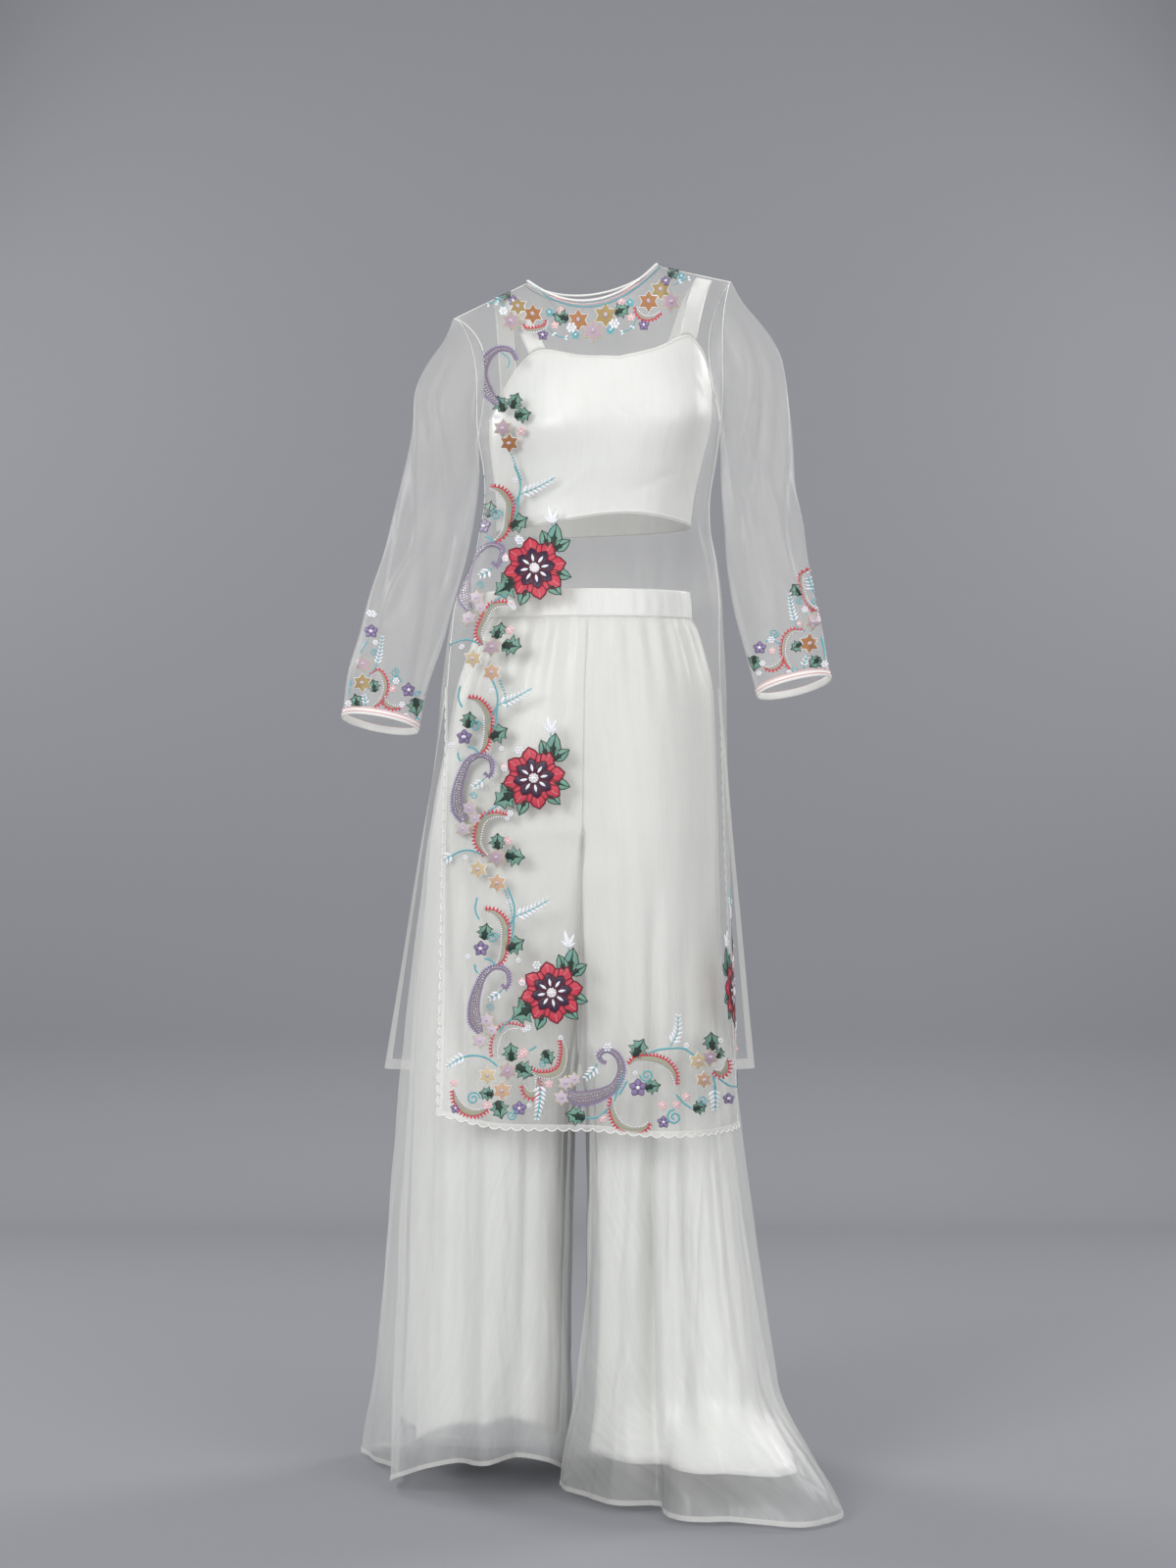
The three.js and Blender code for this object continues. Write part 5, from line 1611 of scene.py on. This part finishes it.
# x, y, radius
NECK_VIOLETS = [(524, 307, 5.5), (554, 342, 5.5), (657, 332, 5.5), (679, 287, 5)]
NECK_TEAL = [(561, 319, 4.5), (643, 309, 4.5), (587, 342, 4.5), (623, 337, 4.5), (508, 304, 4), (695, 282, 4)]
NECK_WHITES = [(583, 335, 6), (627, 331, 6), (514, 318, 5)]
NECK_CRESCENTS = [
    [(559, 327), (556, 334), (547, 337), (537, 337), (533, 332)],
    [(649, 313), (651, 319), (657, 324), (666, 324), (674, 319)],
]
NECK_SPRAYS = [
    [(559, 333), (567, 342), (580, 345)], [(650, 324), (644, 335), (633, 340)],
    [(517, 315), (506, 309), (497, 311)], [(687, 291), (695, 287), (704, 284)],
]
NECK_BUDS = [(566, 332), (644, 324), (572, 317), (634, 308)]
# half width of the fill, length of a tooth
SMALL_CRESCENT = (2.2, 2.6)

stars(NECK_STARS)
leaves(NECK_LEAVES)
for x, y, radius in NECK_VIOLETS:
    small_flower("violet", x, y, radius)
for x, y, radius in NECK_TEAL:
    small_flower("teal", x, y, radius)
for x, y, radius in NECK_WHITES:
    bead_cluster("white", x, y, radius)
for line in NECK_CRESCENTS:
    crescent(line, -1, *SMALL_CRESCENT)
for line in NECK_SPRAYS:
    spray(line, 3.6)
for x, y in NECK_BUDS:
    small_flower("blush", x, y, 4.5)
print("shapes round the neck:", len(SHAPES))

# %% [markdown]
# The border down the side is one unit of stars, crescents, a feather, a leaf pair and
# a tall paisley, worked three times, one unit every 252 mm. Cloth narrows to the
# waist, so the top unit is set a little further in. Between the units stands a group
# with a large flower.

# %% One unit of the side border
UNIT_STARS = [
    (480, 825, 8, "lilac", "yellow"), (485, 835, 7, "lilac", "yellow"),
    (473, 846, 8, "lilac", "yellow"), (506, 875, 9.5, "mauve", "yellow"),
    (488, 887, 9.5, "sand", "white"), (507, 901, 9.5, "tan", "white"),
]
UNIT_LEAVES = [
    ((499, 753), (518, 743)), ((477, 743), (480, 726)), ((507, 867), (507.5, 850)),
    ((515, 873), (536, 875)),
]
# line, side of the teeth
UNIT_CRESCENTS = [
    ([(477.5, 713), (488, 716), (497, 728), (497.5, 745), (495, 760), (490, 768)], 1),
    ([(518, 833), (503, 832), (493, 838), (489, 850), (489, 862), (497, 873)], -1),
]
UNIT_VINES = [
    [(501, 690), (507.5, 707), (507.5, 720), (501.7, 730), (499, 738)],
    [(507.5, 720), (507, 731), (505, 743)], [(489, 769), (484, 764), (478, 762)],
    [(467.5, 768), (468, 773), (471, 777)], [(507.5, 822), (497, 830), (492.5, 837)],
    [(495, 873), (478, 867.5), (465, 871), (457, 878)], [(470, 700), (468, 712), (472, 722)],
]
UNIT_FEATHERS = [
    [(507.5, 720), (524, 713), (543, 702.5)], [(495, 794), (490, 799), (484, 802.5)],
    [(465, 871), (458, 875), (450, 881)],
]
UNIT_PAISLEY = [
    (495, 788), (499, 792), (502, 785), (500, 775), (489, 771), (478, 778), (471, 793), (467, 810),
    (468, 826), (474, 838),
]
PAISLEY_HALVES = [0.8, 1.1, 1.4, 1.7, 2.1, 2.7, 3.8, 5.2, 6.4, 2.4]
UNIT_WHITES = [(502, 705), (475, 875), (518, 835), (461, 760), (512, 764)]


def border_unit():
    """Draws one unit and returns its shapes."""
    first = len(SHAPES)
    stars(UNIT_STARS)
    leaves(UNIT_LEAVES)
    for line, side in UNIT_CRESCENTS:
        crescent(line, side)
    for line in UNIT_VINES:
        vine(line)
    for line in UNIT_FEATHERS:
        feather(line)
    paisley(UNIT_PAISLEY, PAISLEY_HALVES, -1)
    small_flower("violet", 474, 752, 8)
    small_flower("blush", 518, 858, 5)
    curl(486, 741, 6)
    curl(484, 812, 4, 180, -1)
    for x, y in UNIT_WHITES:
        bead_cluster("white", x, y, 3.2)
    beads("teal", curve([(515, 908), (520, 922), (523, 936)]), 1.0, 3.4)
    return SHAPES[first:]


# height in the picture and how far the top unit moves towards the middle there
TOP_UNIT_IN = [(700, 24), (755, 20), (785, 8), (845, 6), (880, -5)]
UNIT_RISE = 215.0
LOW_UNIT_MOVE = (17.0, 216.0)
LOW_UNIT_END = 1082


def moved(shapes, change):
    """Copies of shapes with their points changed."""
    for old in shapes:
        SHAPES.append({**old, "at": change(old["at"])})


def to_top(at):
    rows = np.array(TOP_UNIT_IN, float)
    return np.stack([at[:, 0] + np.interp(at[:, 1], *rows.T), at[:, 1] - UNIT_RISE], axis=-1)


def to_low(at):
    return at + LOW_UNIT_MOVE


unit = border_unit()
moved(unit, to_top)
low_unit_first = len(SHAPES)
moved([old for old in unit if to_low(old["at"])[:, 1].max() < LOW_UNIT_END], to_low)
low_unit = SHAPES[low_unit_first:]
print("shapes in one unit:", len(unit))

# %% [markdown]
# The large flowers catch the eye first: two rounds of eight petals, padded so that they
# stand two millimetres proud. Each has long leaves round it and a small white lily
# above it. Giving the points from the flower's centre lets one function work them all.

# %% Groups round the large flowers
# The three centres, then the size and the turn in degrees of every large flower.
FLOWERS = [(546, 580), (545, 794), (563, 1013)]
FLOWER_RADIUS = 32.0
FLOWER_TURN = 100.0
# base and tip, from the centre of the flower
GROUP_LONG_LEAVES = [
    ((18, -20), (22, -46)), ((19, -18), (36, -29)), ((14, -20), (7, -39)), ((17, 3), (37, 9)),
    ((12, 14), (27, 27)), ((-8, 19), (-15, 38)),
]
GROUP_LEAVES = [((-20, 14), (-34, 5)), ((-19, 14), (-41, 27))]
GROUP_LILY = [((17, -46), (13, -64)), ((17, -46), (23, -60)), ((17, -46), (9, -54)), ((17, -46), (24, -51))]
GROUP_WHITES = [(-15, -28, 5), (-30, -10, 4), (-24, 36, 4)]


def flower_group(x, y):
    first = len(SHAPES)
    for rows, outline in ((GROUP_LEAVES, LEAF), (GROUP_LONG_LEAVES, LONG_LEAF)):
        for base, tip in rows:
            leaf((x + base[0], y + base[1]), (x + tip[0], y + tip[1]), outline=outline)
    for base, tip in GROUP_LILY:
        patch("white", laid(BUD, (x + base[0], y + base[1]), (x + tip[0], y + tip[1]), 0.55), 0.9)
    for along_x, along_y, radius in GROUP_WHITES:
        bead_cluster("white", x + along_x, y + along_y, radius)
    small_flower("blush", x - 30, y - 11, 5)
    vine([(x + 17, y - 26), (x + 18, y - 36), (x + 17, y - 46)], 0.6)
    vine([(x - 18, y + 20), (x - 10, y + 16)], 0.6)
    big_flower(x, y, FLOWER_RADIUS, FLOWER_TURN)
    return SHAPES[first:]


groups = [flower_group(x, y) for x, y in FLOWERS]
print("shapes in one group:", len(groups[0]))

# %% [markdown]
# At the top a last paisley curls up to the necklace, and a string of beads leads down
# to the first unit.

# %% The top of the border
TOP_PAISLEY = [(527, 368), (521, 358), (508, 357), (497, 367), (492, 382), (497, 398), (508, 412)]
TOP_HALVES = [1, 1.6, 2.6, 4, 5.4, 5.6, 1.6]

paisley(TOP_PAISLEY, TOP_HALVES, -1)
stars([(513, 437, 9, "mauve", "yellow"), (520, 452, 9.5, "orange", "white")])
leaves([((514, 420), (507, 404)), ((525, 425), (542, 421)), ((522, 417), (529, 401))])
beads("teal", curve([(522, 462), (527, 476), (533, 491)]), 1.0, 3.4)
small_flower("blush", 532, 440, 5)
bead_cluster("white", 507, 425, 3.4)
vine([(512, 360), (520, 367), (518, 376)], 0.6)
print("shapes down the side:", len(SHAPES))

# %% [markdown]
# Along the hem the same motifs lie down and run in a thicker garland, with a
# horizontal paisley in the middle. Past the middle of the panel it thins out to
# feathers, stars and vines.

# %% Garland over the hem
HEM_STARS = [
    (518, 1093, 9, "mauve", "yellow"), (497.5, 1097.5, 9.5, "sand", "white"),
    (512.5, 1113, 10, "tan", "white"), (577, 1105, 8, "lilac", "yellow"),
    (573, 1120, 8, "lilac", "yellow"), (586, 1101, 7, "lilac", "yellow"),
    (712, 1083, 9.5, "sand", "white"), (724, 1079, 8.5, "mauve", "yellow"),
    (718, 1102, 9, "tan", "white"),
]
HEM_LEAVES = [
    ((522, 1083), (521, 1064)), ((527, 1087), (544, 1098)), ((504, 1117), (489, 1115)),
    ((508, 1123), (512, 1142)), ((555, 1072), (563, 1086)), ((597, 1141), (577, 1136)),
    ((647, 1079), (657, 1060)), ((658, 1110), (674, 1107)), ((727, 1072), (725, 1053)),
    ((732, 1080), (736, 1069)), ((707, 1132), (721, 1128)),
]
HEM_CRESCENTS = [
    ([(463, 1112), (467, 1125), (477, 1134), (488, 1135), (497.5, 1131)], -1),
    ([(534, 1107), (538, 1115), (544, 1117), (548, 1112), (548, 1100)], -1),
    ([(573, 1060), (576, 1073), (573, 1090), (563, 1097), (550, 1097), (543, 1093)], -1),
    ([(625, 1120), (625, 1133), (632, 1147), (645, 1153), (657, 1151), (662, 1145)], -1),
    ([(642, 1087), (650, 1081), (665, 1081), (678, 1085), (687, 1095), (689, 1107)], 1),
    ([(728, 1092), (735, 1095), (740, 1090), (741, 1080)], -1),
]
HEM_VINES = [
    [(465, 1083), (478, 1077.5), (495, 1079), (508, 1088)], [(540, 1072), (544, 1070), (547, 1068)],
    [(550, 1098), (551, 1120), (548, 1142)],
    [(597, 1141), (610, 1140), (620, 1132), (627, 1122), (632, 1107), (637, 1095)],
    [(660, 1075), (673, 1071), (683, 1070), (697, 1070), (708, 1077)],
    [(640, 1103), (636, 1110), (632, 1117)], [(727, 1097), (730, 1112), (729, 1133)],
    [(690, 1117), (697, 1125), (705, 1131)], [(733, 1100), (745, 1108), (757, 1108)],
]
HEM_FEATHERS = [
    [(478, 1077.5), (468, 1081), (456, 1089)], [(551, 1104), (551, 1122), (548, 1141)],
    [(610, 1085), (605, 1093), (597, 1101)], [(684, 1068), (691, 1054), (692, 1037)],
    [(728, 1108), (729, 1120), (729, 1133)],
]
HEM_PAISLEY = [
    (619, 1084), (614, 1082), (612, 1076), (620, 1072), (630, 1078), (634, 1092), (628, 1107), (617, 1115),
    (600, 1120), (587, 1120), (578, 1113),
]
HEM_PAISLEY_HALVES = [1, 1.4, 1.8, 2.2, 2.6, 3.2, 4, 5.5, 7, 6.5, 2]
# x, y, radius, silk
HEM_FLOWERS = [
    (532, 1076, 5, "blush"), (676, 1128, 5, "blush"), (690, 1127, 4.5, "blush"),
    (700, 1119, 4.5, "blush"), (560, 1106, 5, "blush"), (615, 1141, 5, "blush"),
    (497, 1128, 5, "blush"), (463, 1105, 4.5, "blush"), (465, 1131, 5.5, "violet"),
    (530, 1131, 7.5, "violet"), (651, 1110, 9.5, "violet"), (677, 1145, 6.5, "violet"),
    (743, 1121, 6, "violet"),
]
# x, y, radius, turn, hand
HEM_CURLS = [
    (483, 1121, 7, 0, 1), (522, 1138, 6, 90, -1), (554, 1086, 4.5, 0, 1), (660, 1097, 7, 180, 1),
    (717, 1122, 5, 0, -1), (688, 1140, 8, 90, 1),
]
HEM_WHITES = [
    (620, 1069, 5), (572, 1059, 3), (700, 1067, 3.2), (648, 1095, 3), (540, 1128, 3), (735, 1062, 3),
]

stars(HEM_STARS)
leaves(HEM_LEAVES)
for line, side in HEM_CRESCENTS:
    crescent(line, side)
for line in HEM_VINES:
    vine(line)
for line in HEM_FEATHERS:
    feather(line)
paisley(HEM_PAISLEY, HEM_PAISLEY_HALVES)
for x, y, radius, silk in HEM_FLOWERS:
    small_flower(silk, x, y, radius)
for x, y, radius, turn, hand in HEM_CURLS:
    curl(x, y, radius, turn, hand)
for x, y, radius in HEM_WHITES:
    bead_cluster("white", x, y, radius)
print("shapes with the hem:", len(SHAPES))

# %% [markdown]
# The other slit edge, which the view shows only in part, takes the low unit and its
# flower again as a mirror image. The scattered vines towards it close the garland.

# %% The far edge
mirror_first = len(SHAPES)
moved(low_unit + groups[2], lambda at: at)
for twin in SHAPES[mirror_first:]:
    twin["hand"] = -1
FRONT_SHAPES = len(SHAPES)
print("shapes on the front panel:", FRONT_SHAPES)

# %% [markdown]
# Each sleeve has a loose scatter of the same motifs over its last third.

# %% Scatter on the sleeves
CUFF_STARS = {
    -1: [(370, 697, 9.5, "gold", "white"), (371, 678, 7.5, "mauve", "yellow")],
    1: [(825.5, 657, 10, "orange", "white"), (829, 635, 8.5, "mauve", "yellow")],
}
CUFF_LEAVES = {
    -1: [((383, 706), (380, 693)), ((366, 723), (362, 708)), ((424, 712), (425, 731))],
    1: [
        ((816, 608), (807, 597)), ((818, 657), (807, 663)), ((837, 671), (826, 681)),
        ((770, 669), (770, 685)),
    ],
}
# line, side of the teeth
CUFF_CRESCENTS = {
    -1: [
        ([(377, 689), (386, 685), (392, 694), (393, 704), (388, 715), (382, 720)], 1),
        ([(392, 710), (393.5, 717), (399, 721), (408, 722)], -1),
    ],
    1: [
        ([(823, 582), (817, 588), (817.5, 599), (822, 613), (831, 624)], -1),
        ([(819, 644), (809, 644), (802, 651), (799.5, 665), (803, 676), (807, 682)], -1),
        ([(799, 670), (795, 678), (788, 682), (780, 681)], 1),
    ],
}
CUFF_FEATHERS = {
    -1: [[(383, 680), (387, 668), (390.5, 649)], [(373, 722), (373, 716), (371, 709)]],
    1: [
        [(812, 637), (808, 623), (805, 607)], [(820, 683), (821, 676), (824, 669)],
        [(827, 606), (824, 597), (822, 590)],
    ],
}
CUFF_VINES = {
    -1: [
        [(383, 680), (379, 686), (374, 690)], [(368, 667), (372, 661), (376, 655)],
        [(359, 693), (357, 700), (356, 709)], [(398, 696), (405, 690), (410, 696)],
        [(429, 716), (432, 721), (432, 728)],
    ],
    1: [
        [(812, 637), (816, 643), (821, 644)], [(837, 651), (840, 662), (842, 673)],
        [(781, 655), (786, 651), (792, 655)], [(792, 655), (796, 657), (799, 657)],
    ],
}
# silk, x, y, radius
CUFF_FLOWERS = {
    -1: [
        ("violet", 378.5, 644, 7), ("violet", 417, 704, 7.5), ("blush", 401, 703, 4),
        ("blush", 436, 713, 4), ("teal", 425, 735, 4),
    ],
    1: [
        ("violet", 775.5, 661, 6.5), ("blush", 788, 664, 4), ("blush", 815, 637, 3.5), ("teal", 811, 684, 3),
    ],
}
# x, y, radius, turn, hand
CUFF_CURLS = {
    -1: [(381, 665, 4, 0, 1), (402.5, 686, 4.5, 90, -1), (426, 708, 3.5, 0, 1)],
    1: [(815, 614, 4, 90, 1), (790, 646, 5, 0, -1), (829, 614, 3.5, 90, -1)],
}
CUFF_WHITES = {
    -1: [
        (378.5, 626, 4.2), (404, 695, 4.2), (410, 719, 3.6), (356, 718, 3.6), (382.5, 655, 3),
        (414, 731, 3.6),
    ],
    1: [
        (820, 623, 3.8), (787, 653, 4.2), (778.5, 677, 3.4), (841, 678, 3.8), (775, 687, 3), (805, 686, 3),
    ],
}
# barb and gap of a small feather
SMALL_FEATHER = (6.5, 3.8)
THIN_VINE = 0.6

sleeve_shapes = {}
for side in SIDES:
    first = len(SHAPES)
    stars(CUFF_STARS[side])
    leaves(CUFF_LEAVES[side])
    for line, hand in CUFF_CRESCENTS[side]:
        crescent(line, hand, *SMALL_CRESCENT)
    for line in CUFF_FEATHERS[side]:
        feather(line, *SMALL_FEATHER)
    for line in CUFF_VINES[side]:
        vine(line, THIN_VINE)
    for x, y, radius, turn, hand in CUFF_CURLS[side]:
        curl(x, y, radius, turn, hand)
    for silk, x, y, radius in CUFF_FLOWERS[side]:
        small_flower(silk, x, y, radius)
    for x, y, radius in CUFF_WHITES[side]:
        bead_cluster("white", x, y, radius)
    sleeve_shapes[side] = SHAPES[first:]
print("shapes on the sleeves:", sum(len(shapes) for shapes in sleeve_shapes.values()))

# %% [markdown]
# Now every drawn point is pinned on the cloth. A coarse grid of the panel gives the
# nearest place to start from, and each Newton step asks how far the picture moves
# when the place moves a little across and a little down. The shapes of one silk then
# become one mesh, as one shade of thread is worked over the whole panel at once.

# %% Pin the drawing on the cloth
FIND_STEP = 1e-4
FIND_LEAP = 0.05
FIND_GRID = (120, 240)


def find(surface, seen, low, high):
    """Places on a surface, across and down, that picture points cover."""
    across, down = np.meshgrid(*(np.linspace(low[way], high[way], FIND_GRID[way]) for way in (0, 1)))
    across, down = across.ravel(), down.ravel()
    tree = kdtree.KDTree(len(across))
    for index, (x, y) in enumerate(to_picture(surface(across, down))):
        tree.insert(Vector((x, y, 0.0)), index)
    tree.balance()
    nearest = np.array([tree.find(Vector((x, y, 0.0)))[1] for x, y in seen])
    a, b = across[nearest], down[nearest]
    for _ in range(8):
        here = to_picture(surface(a, b))
        by_a = (to_picture(surface(a + FIND_STEP, b)) - here) / FIND_STEP
        by_b = (to_picture(surface(a, b + FIND_STEP)) - here) / FIND_STEP
        gap = seen - here
        turn = by_a[:, 0] * by_b[:, 1] - by_a[:, 1] * by_b[:, 0]
        turn = np.where(np.abs(turn) < 1, 1, turn)
        move_a = (gap[:, 0] * by_b[:, 1] - gap[:, 1] * by_b[:, 0]) / turn
        move_b = (gap[:, 1] * by_a[:, 0] - gap[:, 0] * by_a[:, 1]) / turn
        a = np.clip(a + np.clip(move_a, -FIND_LEAP, FIND_LEAP), low[0], high[0])
        b = np.clip(b + np.clip(move_b, -FIND_LEAP, FIND_LEAP), low[1], high[1])
    missed = np.linalg.norm(seen - to_picture(surface(a, b)), axis=-1)
    print("pinned", len(seen), "points, worst miss in pixels:", round(float(missed.max()), 2))
    return a, b


# a mirrored motif lies this many times as far from the far edge as its twin from the near one
FAR_EDGE_SQUEEZE = 0.6


def pinned(shapes, surface, low, high, place):
    """The shapes of each silk, on the cloth: points, faces and thread lengths."""
    seen = np.concatenate([some["at"] for some in shapes])
    a, b = find(surface, seen, low, high)
    hand = np.repeat([some["hand"] for some in shapes], [len(some["at"]) for some in shapes])
    lift = np.concatenate([some["lift"] for some in shapes])
    points = place(np.where(hand > 0, a, 1 - FAR_EDGE_SQUEEZE * (1 + a)), b, lift)
    silks_used, start = {}, 0
    for some in shapes:
        end = start + len(some["at"])
        faces = some["faces"] if some["hand"] > 0 else some["faces"][:, ::-1]
        silks_used.setdefault(some["silk"], []).append((points[start:end], faces, some["grain"][faces]))
        start = end
    return silks_used


def sewn(silks_used, word):
    pieces = []
    for silk, parts in silks_used.items():
        points, faces = joined([part[:2] for part in parts])
        lengths = np.concatenate([part[2] for part in parts])
        material = {"pearl": pearl, "silver": silver}.get(silk) or silks[silk]
        pieces.append(build(f"embroidery_{silk}{word}", points, faces, lengths, material))
    faces = sum(len(piece.data.polygons) for piece in pieces)
    print("silks", word or "on the front", len(pieces), "faces:", faces)
    return pieces


# %% Work the front
on_front = pinned(
    SHAPES[:FRONT_SHAPES], lambda a, b: kurta_point("front", a, b), (-SEAM_SHARE, 0.0), (SEAM_SHARE, 3.0),
    lambda a, b, lift: panel_point("front", a, b, lift),
)
sewn(on_front, "")
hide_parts("flower_1", "flower_2", "flower_3", "flower_4")

# %% Work the sleeves
# around and down: the part of a sleeve that the drawing may lie on
SLEEVE_FRONT = ((0.03, 0.3), (0.47, 1.0))
for side, word in SIDES.items():
    on_sleeve = pinned(
        sleeve_shapes[side], lambda a, b: sleeve_point(side, a, b), *SLEEVE_FRONT,
        lambda a, b, lift: sleeve_cloth(side, a, b, lift),
    )
    sewn(on_sleeve, f"_{word}_sleeve")
